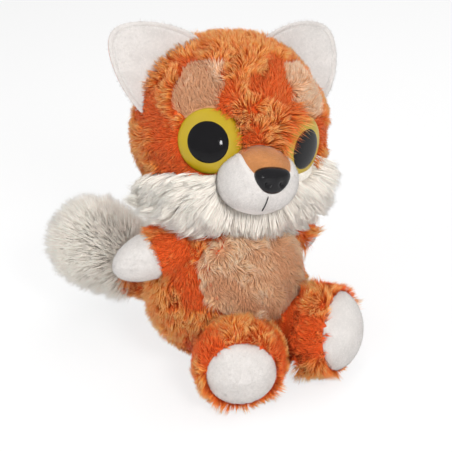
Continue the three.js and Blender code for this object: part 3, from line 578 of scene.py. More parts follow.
def fibre_lines(roots, lean, length, lie, joints, tufts, seed, curl):
    """Fibres as bent lines, one row of points for each. A fibre leaves along the normal and bends over
    towards its lean by a share, and its later points draw in to the middle of its tufts, the cells of wavy
    grids."""
    rng = np.random.default_rng(seed)
    count = len(roots.points)
    lines = [roots.points - roots.normals * ROOT_DEPTH]
    wander = rng.normal(size=(count, 3)) * curl
    for step in range(1, joints):
        t = (step - 0.5) / (joints - 1)
        upright = (1.05 - lie * (0.35 + 0.7 * t))[:, None]
        bent = (lie * (0.35 + 0.9 * t))[:, None]
        way = unit(roots.normals * upright + lean * bent + wander * (0.5 + t))
        lines.append(lines[-1] + way * (length / (joints - 1))[:, None])
    lines = np.stack(lines, 1)
    for n, (tuft, pull) in enumerate(tufts):
        waved = roots.points + drift_vectors(roots.points, tuft * 4, seed + 50 + n) * tuft * 0.7
        cell = np.floor(waved / tuft)
        _, group = np.unique(cell, axis=0, return_inverse=True)
        group = group.ravel()
        number = np.bincount(group)
        for step in range(1, joints):
            middle = np.stack([np.bincount(group, lines[:, step, k]) / number for k in range(3)], 1)[group]
            share = np.broadcast_to(pull, count) * (step / (joints - 1)) ** 1.3
            lines[:, step] += (middle - lines[:, step]) * share[:, None]
    return lines


def fibres(name, roots, lean, length, lie, width, material, body, joints, ruffle_shine, seed, curl, tufts=(),
           table=None, off=()):
    """Fibres as closed three-sided spikes, in as few pieces as stay under the limit of triangles. Rings of
    three points follow each line and narrow to its tip. The map OFBake gives each fibre a cell of its own,
    unrolled side by side."""
    rng = np.random.default_rng(seed)
    count = len(roots.points)
    length = np.broadcast_to(length, count) * rng.uniform(0.75, 1.15, count)
    lie = np.broadcast_to(lie, count)
    lines = fibre_lines(roots, lean, length, lie, joints, tufts, seed, curl)
    for form, grow in off:
        lines = kept_outside(form, lines.reshape(-1, 3), grow).reshape(lines.shape)
    if table is not None:
        lines[:, :, 2] = np.maximum(lines[:, :, 2], table)
    ahead = unit(lines[:, -1] - lines[:, 0])
    across = unit(np.cross(ahead, roots.normals + 0.01 * lean))
    over = np.cross(across, ahead)
    spin = circle(3)
    star = across[:, None] * np.cos(spin)[None, :, None]
    star = star + over[:, None] * np.sin(spin)[None, :, None] * FIBRE_FLATNESS
    share = np.arange(joints) / (joints - 1)
    girth = width / 2 * (1 - share[:-1] ** 1.6 * 0.6) * rng.uniform(0.75, 1.25, (count, 1))
    rings = lines[:, :-1, None] + star[:, None] * girth[:, :, None, None]
    points = np.concatenate([rings.reshape(count, -1, 3), lines[:, -1:]], 1)
    each = points.shape[1]
    side = np.array([[k, (k + 1) % 3, (k + 1) % 3 + 3, k + 3] for k in range(3)])
    quads = np.concatenate([side + 3 * r for r in range(joints - 2)]) if joints > 2 else np.zeros((0, 4), int)
    top, tip = 3 * (joints - 2), each - 1
    tips = np.array([[top, top + 1, tip], [top + 1, top + 2, tip], [top + 2, top, tip], [2, 1, 0]])
    along = np.append(np.repeat(share[:-1], 3), 1.0)
    quad_map = [[((k % 3) + a) / 3, along[quad[b]]] for k, quad in enumerate(quads)
                for b, a in enumerate((0, 1, 1, 0))]
    tip_map = [[(k + a) / 3, along[tips[k][b]]] for k in range(3) for b, a in enumerate((0, 1, 0.5))]
    foot_map = [[0, 0.98], [0.1, 0.98], [0, 0.88]]
    cell_map = np.array(quad_map + tip_map + foot_map) * 0.86 + 0.07
    faces_each = 2 * len(quads) + 4
    parts = max(1, math.ceil(count * faces_each / PIECE_LIMIT))
    for n, picked in enumerate(np.array_split(np.arange(count), parts)):
        shift = (np.arange(len(picked)) * each)[:, None, None]
        groups = [(g[None] + shift).reshape(-1, g.shape[1]) for g in (quads, tips) if len(g)]
        label = name if parts == 1 else f"{name}_{n + 1}"
        me = mesh_of(label, points[picked].reshape(-1, 3), groups)
        grid = math.ceil(math.sqrt(len(picked)))
        corner = np.stack([np.arange(len(picked)) % grid, np.arange(len(picked)) // grid], 1)
        split = 4 * len(quads)
        cells = (corner[:, None] + cell_map[None]) / grid
        unrolled = np.concatenate([cells[:, :split].ravel(), cells[:, split:].ravel()])
        me.uv_layers.new(name="OFBake").data.foreach_set("uv", unrolled.astype(np.float32))
        fields = {
            "along": np.tile(along, len(picked)),
            "tint": np.repeat(rng.random(len(picked)), each),
            "ruffle_shine": np.repeat(ruffle_shine[picked], each),
        }
        for key, values in fields.items():
            me.attributes.new(key, "FLOAT", "POINT").data.foreach_set("value", values.astype(np.float32))
        carried(label, me, material, body)


# Finishes

# A Mix node of colours: its kind of data, and the numbers of its sockets
COLOURS = {"data_type": "RGBA", "clamp_factor": True}
SHARE, FIRST, SECOND, MIXED = 0, 6, 7, 2


def add(tree, kind, links=None, **settings):
    """A node of one kind with its settings, and its inputs as values or as sockets to link."""
    node = tree.nodes.new("ShaderNode" + kind)
    for key, value in settings.items():
        setattr(node, key, value)
    for key, value in (links or {}).items():
        if isinstance(value, bpy.types.NodeSocket):
            tree.links.new(value, node.inputs[key])
        else:
            node.inputs[key].default_value = value
    return node


def empty_tree(holder):
    """The node tree of a material or a world, with nothing in it yet."""
    holder.use_nodes = True
    holder.node_tree.nodes.clear()
    return holder.node_tree


def finish(name, build, **surface):
    """A material: build(tree) gives its colour and its normal or None, and the rest is set on the shader."""
    material = bpy.data.materials.get(name)
    if material:
        return material
    material = bpy.data.materials.new(name)
    tree = empty_tree(material)
    colour, normal = build(tree)
    sockets = {key.replace("_", " "): value for key, value in surface.items()}
    shader = add(tree, "BsdfPrincipled", {"Base Color": colour, **sockets})
    if normal is not None:
        tree.links.new(normal, shader.inputs["Normal"])
    add(tree, "OutputMaterial", {"Surface": shader.outputs[0]})
    return material


def pile_finish(name, deep, middle, tip, bright, roughness, sheen=0.25, glint=(1, 1, 1, 1)):
    """Polyester pile, knitted, sheared and brushed. Along each fibre the colour runs from a darker root, which
    is painted shade on top of the shade that the fibres cast, to its tip. Where it lies smooth it is one deep
    colour with a satin face, and where it is ruffled its pale tips show as streaks, partly the fibres' own
    colour and partly a painted satin highlight. Fibres differ a little, and the sheen lights the outline."""

    def build(tree):
        fields = ("along", "tint", "ruffle_shine")
        along, tint, ruffle_shine = (add(tree, "Attribute", attribute_name=key).outputs["Fac"] for key in fields)
        smooth = {"interpolation_type": "SMOOTHSTEP"}
        low = add(tree, "MapRange", {"Value": along, "From Min": 0.0, "From Max": 0.6}, **smooth).outputs[0]
        high = add(tree, "MapRange", {"Value": along, "From Min": 0.4, "From Max": 1.0}, **smooth).outputs[0]
        # calm runs from the painted root shade to the middle colour; pale and wild add the ruffled tips, partly
        # a painted highlight
        calm = add(tree, "Mix", {SHARE: low, FIRST: deep, SECOND: middle}, **COLOURS).outputs[MIXED]
        pale = add(tree, "Mix", {SHARE: low, FIRST: middle, SECOND: tip}, **COLOURS).outputs[MIXED]
        wild = add(tree, "Mix", {SHARE: high, FIRST: pale, SECOND: bright}, **COLOURS).outputs[MIXED]
        even = add(tree, "Mix", {SHARE: ruffle_shine, FIRST: calm, SECOND: wild}, **COLOURS).outputs[MIXED]
        spread = add(tree, "MapRange", {"Value": tint, "To Min": 0.88, "To Max": 1.12}).outputs[0]
        each = add(tree, "Mix", {SHARE: 1.0, FIRST: even, SECOND: spread}, blend_type="MULTIPLY", **COLOURS)
        return each.outputs[MIXED], None

    return finish(name, build, Roughness=roughness, Specular_IOR_Level=0.3, Sheen_Weight=sheen,
                  Sheen_Roughness=0.35, Sheen_Tint=glint)


def knit_finish(name, low, high):
    """Knitted backing of a pile fabric: loops 0.9 mm apart that show as a soft mottle between the fibres. The
    colour darkens where the loops' bump dips, painted shade in their hollows, broken up by a random cloud.
    """

    def build(tree):
        place = add(tree, "TexCoord").outputs["Object"]
        loops = add(tree, "TexVoronoi", {"Vector": place, "Scale": KNIT_LOOPS})
        cloud = add(tree, "TexNoise", {"Vector": place, "Scale": KNIT_CLOUDS, "Detail": 3.0})
        # The loops' hollows, low in the bump, take the darker colour: painted shade, broken by the cloud.
        terms = {0: cloud.outputs[0], 1: loops.outputs["Distance"], 2: 0.25}
        share = add(tree, "Math", terms, operation="MULTIPLY_ADD")
        bump = add(tree, "Bump", {"Height": loops.outputs["Distance"], "Strength": 0.4, "Distance": 0.0003})
        colour = add(tree, "Mix", {SHARE: share.outputs[0], FIRST: low, SECOND: high}, **COLOURS)
        return colour.outputs[MIXED], bump.outputs[0]

    return finish(name, build, Roughness=0.9, Specular_IOR_Level=0.2)


def velour_finish(name, low, high, tufts=VELOUR_TUFTS):
    """Short velour, brushed one way: a matt nap about 1 mm long. Its colour darkens where the tufts' bump dips,
    partly painted shade in their hollows and partly a random mottle from broad clouds. Its tufts are 1.1 mm
    wide, coarser than real ones, which would be too fine to show."""

    def build(tree):
        place = add(tree, "TexCoord").outputs["Object"]
        fine = add(tree, "TexNoise", {"Vector": place, "Scale": tufts, "Detail": 4.0, "Roughness": 0.7})
        broad = add(tree, "TexNoise", {"Vector": place, "Scale": VELOUR_CLOUDS, "Detail": 2.0})
        # The tufts' hollows, low in the bump, take the darker colour: painted shade, broken by the broad clouds.
        share = add(tree, "Math", {0: fine.outputs[0], 1: broad.outputs[0]}, operation="MULTIPLY")
        wide = add(tree, "MapRange", {"Value": share.outputs[0], "From Min": 0.12, "From Max": 0.42})
        bump = add(tree, "Bump", {"Height": fine.outputs[0], "Strength": 0.35, "Distance": 0.0004})
        colour = add(tree, "Mix", {SHARE: wide.outputs[0], FIRST: low, SECOND: high}, **COLOURS)
        return colour.outputs[MIXED], bump.outputs[0]

    return finish(name, build, Roughness=0.85, Specular_IOR_Level=0.2, Sheen_Weight=0.3, Sheen_Roughness=0.4)


def moulded_finish(name, low, high, clouds, roughness, bump=0.02, gloss=0.5):
    """Injection-moulded plastic: an even colour with the faint cloudiness and pits that the mould leaves. Its
    clouds are counted in a metre, and are 4 to 6 mm wide, with pits a sixth of that."""

    def build(tree):
        place = add(tree, "TexCoord").outputs["Object"]
        cloud = add(tree, "TexNoise", {"Vector": place, "Scale": clouds, "Detail": 3.0})
        pits = add(tree, "TexNoise", {"Vector": place, "Scale": clouds * PITS_TO_CLOUDS, "Detail": 2.0})
        dent = add(tree, "Bump", {"Height": pits.outputs[0], "Strength": bump, "Distance": 0.0004})
        colour = add(tree, "Mix", {SHARE: cloud.outputs[0], FIRST: low, SECOND: high}, **COLOURS)
        return colour.outputs[MIXED], dent.outputs[0]

    return finish(name, build, Roughness=roughness, Specular_IOR_Level=gloss)


# What a user may change


def length_property(name, description, default):
    """A length in metres that a user may change, with its name, description and default."""
    return bpy.props.FloatProperty(name=name, description=description, default=default, unit="LENGTH")


def colour_property(name, description, colour):
    """A colour that a user may change, from its sRGB hex value."""
    return bpy.props.FloatVectorProperty(
        name=name, description=description, subtype="COLOR", size=4, default=linear(colour))


class FoxSizes(bpy.types.PropertyGroup):
    """Sizes of the fabrics, in metres."""

    plush_length: length_property("Plush length", "Length of the orange and tan pile", 0.0046)
    plush_density: bpy.props.FloatProperty(
        name="Plush density", description="Fibres of orange and tan pile for each square millimetre",
        default=3.0)
    ruff_length: length_property("Ruff length", "Length of the white pile on the cheeks", 0.015)
    tail_length: length_property("Tail pile length", "Length of the white pile on the tail", 0.011)
    nap_length: length_property("Nap length", "Length of the nap on the velour", 0.0010)


class FoxColours(bpy.types.PropertyGroup):
    """Colours of the fabrics and plastics."""

    # The deep colour at the roots is painted shade among the fibres; the streak and ruffled colours are partly
    # the pile's own and partly a painted satin highlight.
    orange_root_shade: colour_property("Orange, deep", "Orange pile at its roots", "#CE481A")
    orange: colour_property("Orange", "Orange pile along its length", "#E86228")
    orange_tip: colour_property("Orange, streaks", "Ruffled orange pile along its length", "#EE963C")
    orange_bright: colour_property("Orange, ruffled", "Tips of ruffled orange pile", "#FFD28C")
    tan: colour_property("Tan", "Tan pile", "#E2A67C")
    white: colour_property("White pile", "Long white pile", "#FFF8EE")
    velour: colour_property("White velour", "Muzzle, ears, paws and soles", "#D8D3CF")
    bridge: colour_property("Brown velour", "Bridge of the muzzle", "#BC7E4C")
    eye: colour_property("Eye ring", "Yellow plastic of the eyes", "#AC920E")
    black: colour_property("Black plastic", "Pupils and nose", "#0B0A0C")


def shade(colour, factor):
    """A colour times a factor, for its darker and lighter relatives."""
    return (*[min(c * factor, 1.0) for c in tuple(colour)[:3]], 1.0)


def orange_pile(shade_lifted=False):
    """Orange plush, with a warm satin face. Pile on the body, arms and legs is painted a little lighter, against
    the shade that falls on it.
    """
    c = bpy.context.scene.fox_colours
    name = "Polyester plush, brushed, orange, worn" if shade_lifted else "Polyester plush, brushed, orange"
    # a painted lighter copy, which lifts the shade on the body, arms and legs
    factor = 1.14 if shade_lifted else 1.0
    shades = (shade(k, factor) for k in (c.orange_root_shade, c.orange, c.orange_tip, c.orange_bright))
    return pile_finish(name, *shades, 0.45, 0.3, linear("#FFB468"))


def tan_pile(shade_lifted=False):
    """Tan plush, with a paler satin face. Pile on the belly is painted a little lighter, against the shade that
    the ruff casts on it.
    """
    # a painted lighter copy for the belly, which lies in the ruff's shade
    tan = shade(bpy.context.scene.fox_colours.tan, 1.12 if shade_lifted else 0.97)
    name = "Polyester plush, brushed, tan, worn" if shade_lifted else "Polyester plush, brushed, tan"
    # Darker roots are painted shade; the pale tip and streak colours are partly painted highlight.
    shades = (shade(tan, 0.8), shade(tan, 0.94), shade(tan, 1.5), linear("#FFF2DC"))
    return pile_finish(name, *shades, 0.42, 0.3, linear("#FFE4C4"))


def white_pile():
    """Long white pile, matt, with hardly any change of shade along a fibre: its roots carry a little painted
    shade.
    """
    white = bpy.context.scene.fox_colours.white
    deep, bright = shade(white, 0.9), shade(white, 1.04)
    return pile_finish("Acrylic long pile, white", deep, white, white, bright, 0.6, 0.4)


def orange_knit():
    """The knitted backing under orange pile, darker between its loops: painted shade in their hollows."""
    c = bpy.context.scene.fox_colours
    return knit_finish("Knitted backing, orange", shade(c.orange_root_shade, 0.7), c.orange)


def pale_knit(name, colour):
    """The knitted backing under tan or white pile, a shade darker than its colour."""
    return knit_finish(f"Knitted backing, {name}", shade(colour, 0.6), shade(colour, 0.9))


def white_velour():
    """White velour, which greys a little in the hollows of its tufts: painted shade, with a random mottle."""
    velour = bpy.context.scene.fox_colours.velour
    return velour_finish("Velour, brushed, white", shade(velour, 0.86), shade(velour, 1.03))


def brown_velour():
    """Brown velour, which darkens in the hollows of its tufts: painted shade, with a random mottle."""
    bridge = bpy.context.scene.fox_colours.bridge
    return velour_finish("Velour, brushed, brown", shade(bridge, 0.74), shade(bridge, 1.05))


def nap_finish(name, colour, *factors):
    """The nap of a velour, matt, in four shades of its colour: the darkest, at its roots, is painted shade."""
    return pile_finish(f"Velour nap, {name}", *(shade(colour, factor) for factor in factors), 0.75)


def white_nap():
    """The nap of the white velour."""
    return nap_finish("white", bpy.context.scene.fox_colours.velour, 0.72, 0.88, 1.05, 1.16)


def brushed(field, roots):
    """A field of ruffles with the photograph's own added: a bell curve round each spot, on the side that
    faces the camera."""
    across, down = seen_at(roots.points)
    facing = ease(0.0, 0.35, roots.normals @ CAMERA[:3, 2])
    for u, v, weight in BRUSHED_SPOTS:
        near = np.exp(-((across - u) ** 2 + (down - v) ** 2) / SPOT_REACH**2)
        field = field + SPOT_STRENGTH * weight * near * facing
    return field


def plush(name, roots, comb, material, body, seed, length=1.0, table=None, calm=0.0, lift=0.0,
          loose=1.0):
    """Brushed plush: smooth patches that lie with the comb, and ruffled ones whose streaks stand and swirl.
    The loose share says how far a ruffled patch stands, and only wholly loose pile follows the photograph's
    spots. The calm field takes ruffles away, and the lift stands fibres up. Ruffled pile shows pale tips, partly
    the fibres' own colour and partly a painted satin highlight."""
    sizes = bpy.context.scene.fox_sizes
    field = 0.7 * drift(roots.points, 24.0, 11) + 0.45 * drift(roots.points, 9.0, 23)
    contrast = 0.4
    if loose == 1:
        field, contrast = brushed(field, roots), 1.0
    patches = ease(-0.35, 0.4, (field + 0.08 - calm) * contrast)
    streaks = drift(roots.points, 2.6, 27)
    # how far each fibre takes the pale ruffled tips, partly a painted highlight
    ruffle_shine = np.maximum(patches * np.clip(0.72 + 0.4 * streaks, 0.15, 1), 0.4 * ease(0.5, 1.4, streaks))
    swirl = drift_vectors(roots.points, 10.0, 31) * (0.3 + 0.75 * patches)[:, None]
    lean = tangent(unit(comb) + swirl, roots.normals)
    size = sizes.plush_length / MM * length * (0.85 + 0.42 * patches)
    lie = 0.94 - 0.28 * loose * patches - lift
    tufts = ((1.0, 0.25 * loose), (2.4, (0.08 + 0.34 * patches) * loose))
    fibres(name, roots, lean, size, lie, PLUSH_WIDTH, material, body, joints=3, ruffle_shine=ruffle_shine,
           seed=seed, curl=0.14, tufts=tufts, table=table)


def nap(name, roots, comb, material, body, seed, length=1.0, lie=0.7):
    """Short nap: straight spikes of one joint that lie with the comb, mottled at random between darker fibres
    and pale tips, which are partly a painted highlight.
    """
    lean = tangent(unit(comb) + 0.35 * drift_vectors(roots.points, 6.0, seed + 7), roots.normals)
    size = bpy.context.scene.fox_sizes.nap_length / MM * length
    mottle = ease(-0.45, 0.45, drift(roots.points, 1.5, seed + 3))
    fibres(name, roots, lean, size, lie, NAP_WIDTH, material, body, joints=2, ruffle_shine=mottle,
           seed=seed, curl=0.2)


# Pieces


class FOX_OT_stage(bpy.types.Operator):
    """Pale floor, soft studio light and the camera"""

    bl_idname = "fox.stage"
    bl_label = "Stage"

    def execute(self, context):
        context.scene.view_settings.view_transform = "Standard"
        self.floor(context.scene)
        self.sky(context.scene)
        self.camera(context.scene)
        self.lamps(context.scene)
        return {"FINISHED"}

    def seen(self, tree, *rays):
        """Whether a ray is one of the kinds named, in which the paper and the sky look evenly white."""
        path = add(tree, "LightPath")
        seen = path.outputs[f"Is {rays[0]} Ray"]
        for ray in rays[1:]:
            either = add(tree, "Math", {0: seen, 1: path.outputs[f"Is {ray} Ray"]}, operation="MAXIMUM")
            seen = either.outputs[0]
        return seen

    def floor(self, scene):
        """A disc of paper just under the table's plane."""
        angle = circle(FLOOR_SIDES)
        x, y = FLOOR_RADIUS * np.cos(angle), FLOOR_RADIUS * np.sin(angle)
        disc = np.stack([x, y, np.full(FLOOR_SIDES, -FLOOR_DROP)], 1)
        floor = bpy.data.objects.new("floor", mesh_of("floor", disc, [np.arange(FLOOR_SIDES)[None]]))
        scene.collection.objects.link(floor)
        material = bpy.data.materials.new("Paper backdrop, matt, white")
        tree = empty_tree(material)
        seen = self.seen(tree, "Camera", "Glossy", "Transmission")
        share = add(tree, "Math", {0: seen, 1: FLOOR_GLOW}, operation="MULTIPLY")
        matt = add(tree, "BsdfDiffuse", {"Color": linear("#F4F4F4")})
        glow = add(tree, "Emission", {"Color": (1, 1, 1, 1), "Strength": 1.0})
        both = add(tree, "MixShader", {0: share.outputs[0], 1: matt.outputs[0], 2: glow.outputs[0]})
        add(tree, "OutputMaterial", {"Surface": both.outputs[0]})
        floor.data.materials.append(material)

    def sky(self, scene):
        """An even white world, a little weaker as light than as it looks."""
        scene.world = bpy.data.worlds.new("Studio")
        tree = empty_tree(scene.world)
        seen = self.seen(tree, "Camera", "Transmission")
        strength = add(tree, "MapRange", {"Value": seen, "To Min": SKY_LIGHT, "To Max": 1.0})
        sky = add(tree, "Background", {"Color": (1, 1, 1, 1), "Strength": strength.outputs[0]})
        add(tree, "OutputWorld", {"Surface": sky.outputs[0]})

    def camera(self, scene):
        """The camera, whose place in metres is the one worked out above."""
        camera = bpy.data.objects.new("camera", bpy.data.cameras.new("camera"))
        scene.collection.objects.link(camera)
        camera.matrix_world = Matrix((CAMERA * np.array([[1, 1, 1, MM]])).tolist())
        camera.data.lens = LENS
        camera.data.sensor_width = SENSOR
        scene.camera = camera

    def lamps(self, scene):
        """Round lamps that face the toy. Only the glint shows in gloss, and the others light the cloth."""
        right, up, back = CAMERA[:3, :3].T
        for name, (behind, beside, above, raised, size, power) in LAMPS.items():
            lamp = bpy.data.objects.new(name, bpy.data.lights.new(name, "AREA"))
            lamp.data.shape, lamp.data.size, lamp.data.energy = "DISK", size, power
            lamp.visible_glossy, lamp.visible_diffuse = name == "glint", name != "glint"
            scene.collection.objects.link(lamp)
            place = back * behind + right * beside + up * above + (0, 0, raised)
            z = unit(place)
            x = unit(np.cross((0, 0, 1.0), z))
            lamp.matrix_world = Matrix(frame_of(x, np.cross(z, x), z, (place + LAMP_AIM) * MM).tolist())


class FOX_OT_body(bpy.types.Operator):
    """Orange body, tan belly panel and the gathered neck seam"""

    bl_idname = "fox.body"
    bl_label = "Body"

    def execute(self, context):
        density = context.scene.fox_sizes.plush_density
        self.skin(density)
        self.belly(density, context.scene.fox_colours.tan)
        self.neck()
        return {"FINISHED"}

    def skin(self, density):
        """The body's cover, held at its seams, seat and neck, with pile that leaves limbs and belly free."""
        sphere, faces = sphere_of_squares(BODY_STEPS)
        points = drawn_out(BODY, sphere, -0.4)
        belly_seam = np.abs(within(BELLY_PLACE, points, BELLY_HALF) - 1) < 0.05
        back_seam = (np.abs(points[:, 0]) < 1) & (points[:, 1] > 0)
        held = belly_seam | back_seam | (points[:, 2] < 2) | (points[:, 2] > 74)
        points = over_table(stuffed(points, faces, held), COVER_OVER_TABLE)
        piece("body_cover", points, faces, orange_knit(), "torso", ["body_skin"])
        roots = scattered(points, faces, density, seed=101)
        free = within(BELLY_PLACE, roots.points, BELLY_HALF) > 0.98 + 0.03 * drift(roots.points, 3, seed=5)
        under_head = (np.hypot(roots.points[:, 0], roots.points[:, 1]) < 13) & (roots.points[:, 2] > 60)
        free &= ~under_head
        for place, limb in [(leg_place(*side), LEG) for side in SIDES] + [(TAIL_PLACE, TAIL)]:
            free &= within(place, roots.points, (limb.root * 0.8, limb.root * 0.8)) > 1
        roots = thinned(chosen(roots, free), 0.7, seed=103)
        comb = np.array([0, 0, -1.0]) + 0.4 * unit(roots.points - BODY.centre)
        hip = ease(14.0, 6.0, np.linalg.norm(roots.points - (-BODY.half[0], 0.0, 36.0), axis=1) * 0.7)
        plush("body_plush", roots, comb, orange_pile(shade_lifted=True), "torso", 102, 1 + 0.5 * hip,
              table=PILE_OVER_TABLE)

    def belly(self, density, tan):
        """The belly panel, whose pile lies calmer in its middle than by its seam."""
        points, faces = patch(BODY, BELLY_PLACE, BELLY_HALF, 0.6, 0.9, 20, 80)
        backing = pale_knit("tan", tan)
        piece("belly_cover", points, faces, backing, "torso", ["belly_panel"])
        roots = scattered(points, faces, density, seed=103)
        roots = chosen(roots, depth_in(BODY, roots.points) > 1.004)
        calm = 0.9 - 1.7 * within(BELLY_PLACE, roots.points, BELLY_HALF)
        comb = np.array([0, 0, -1.0])
        pile = tan_pile(shade_lifted=True)
        plush("belly_plush", roots, comb, pile, "torso", 104, calm=calm, loose=0.4)

    def neck(self):
        """The gathered neck: an oval carried round a circle whose radius and height wave with the pleats."""
        turn, roll = circle(192), circle(12)[:, None]
        middle = NECK_RADIUS + PLEAT_DEPTHS[0] * np.sin(PLEATS * turn)
        radius = middle[None] + NECK_ROLL[0] * np.cos(roll)
        height = NECK_TOP + NECK_ROLL[1] * np.sin(roll) + PLEAT_DEPTHS[1] * np.cos(PLEATS * turn)[None]
        height = height - (radius - NECK_RADIUS) * NECK_SLOPE
        ring = np.stack([radius * np.cos(turn), radius * np.sin(turn), height], -1)
        index = np.arange(height.size).reshape(height.shape)
        after, over = np.roll(index, -1, 1), np.roll(index, -1, 0)
        faces = np.stack([index, after, np.roll(after, -1, 0), over], -1).reshape(-1, 4)
        points = ring.reshape(-1, 3)
        piece("neck_gathers", points, [faces], orange_knit(), "neck", ["neck_seam"])


class FOX_OT_head(bpy.types.Operator):
    """Orange head with tan patches over the eyes"""

    bl_idname = "fox.head"
    bl_label = "Head"

    def execute(self, context):
        density = context.scene.fox_sizes.plush_density
        self.pile(self.free_roots(*self.skin(), density))
        for name, side in SIDES:
            self.brow(name, side, density, context.scene.fox_colours.tan)
        return {"FINISHED"}

    def skin(self):
        """The head's cover, held at its middle seam and by the eyes, the muzzle and the neck."""
        sphere, faces = sphere_of_squares(HEAD_STEPS)
        points = drawn_out(HEAD, sphere, -0.3)
        held = np.abs(in_head(points)[:, 0]) < 0.8
        for name, _ in SIDES:
            held |= by_eye(name, points) < 1.05
        held |= (depth_in(MUZZLE, points, 0.5) < 1) | (depth_in(BODY, points, NECK_GAP) < 1)
        points = kept_outside(BODY, stuffed(points, faces, held, 0.03), NECK_GAP)
        piece("head_cover", points, faces, orange_knit(), "head", ["head_skin"])
        return points, faces

    def free_roots(self, points, faces, density):
        """Roots all over the head but for the cheeks, the muzzle, the neck, the eyes and the brow patches."""
        roots = scattered(kept_outside(RUFF, points, -4.2), faces, density, seed=201)
        edge = 0.5 * drift(roots.points, 3, seed=6)
        free = ~on_cheek(roots.points, edge + 1.2 * drift(roots.points, 8, seed=8))
        free &= (depth_in(MUZZLE, roots.points, 0.3) > 1) & (depth_in(BODY, roots.points, 3.0) > 1)
        for name, _ in SIDES:
            free &= by_eye(name, roots.points, -0.4) > 1
            free &= within(BROW_PLACES[name], roots.points, BROW_HALF, BROW_SQUARENESS) > 0.98 + 0.05 * edge
        return thinned(chosen(roots, free), 0.75, seed=203)

    def pile(self, roots):
        """The head's pile: combed back from the face and down by the cheeks, away from the ears' bases, and
        over the inner rims of the eyes, where it is longest."""
        comb = unit(roots.points - middle_of(HEAD) - head_way(0, -34, -12)) + head_way(0, 0.5, -0.25)
        low = in_head(roots.points)[:, 2]
        comb = comb + ease(-7.0, -13.0, low)[:, None] * head_way(0, 0, -1.3)
        by_ear = np.zeros(len(roots.points))
        for name, side in SIDES:
            place = ear_place(name, side)
            local = seen_from(place, roots.points)
            base = ease(-8.0, -3.0, local[:, 1]) * (local[:, 1] < 1)
            base = base * ease(25.0, 20.0, np.abs(local[:, 0])) * ease(-16.0, -8.0, local[:, 2])
            comb = comb * (1 - base)[:, None] + 1.2 * base[:, None] * (place[:3, 1] + 0.3 * place[:3, 2])
            by_ear = np.maximum(by_ear, base)
        over_eye = np.zeros(len(roots.points))
        for name, side in SIDES:
            away = unit(roots.points - EYE_PLACES[name][:3, 3])
            rim = ease(1.45, 1.05, by_eye(name, roots.points))
            rim = rim * ease(-0.1, 0.5, away @ head_way(-side, 0, 0.1))
            comb = comb * (1 - rim)[:, None] - 1.6 * rim[:, None] * away
            over_eye = np.maximum(over_eye, rim)
        length = 1 + (0.75 + 0.9 * (roots.points[:, 0] > 14)) * over_eye + 0.2 * by_ear
        plush("head_plush", roots, comb, orange_pile(), "head", 202, length,
              lift=0.42 * over_eye + 0.3 * by_ear)

    def brow(self, name, side, density, tan):
        """A tan patch over an eye, whose pile lies calmer towards the right and low down."""
        points, faces = patch(HEAD, BROW_PLACES[name], BROW_HALF, 0.6, 0.9, 10, 48, BROW_SQUARENESS)
        backing = pale_knit("tan", tan)
        piece(f"brow_cover_{name}", points, faces, backing, "head", [f"brow_patch_{name}"])
        roots = scattered(points, faces, density * 1.2, seed=210 + side)
        roots = chosen(roots, depth_in(HEAD, roots.points) > 1.004)
        roots = chosen(roots, by_eye(name, roots.points, -0.2) > 1)
        across = (roots.points - BROW_PLACES[name][:3, 3]) @ head_way(1.0, 0, 0.5)
        comb = head_way(side * 0.3, 0.2, 1.0)
        plush(f"brow_plush_{name}", roots, comb, tan_pile(), "head", 220 + side,
              calm=-0.16 * across, loose=0.6)


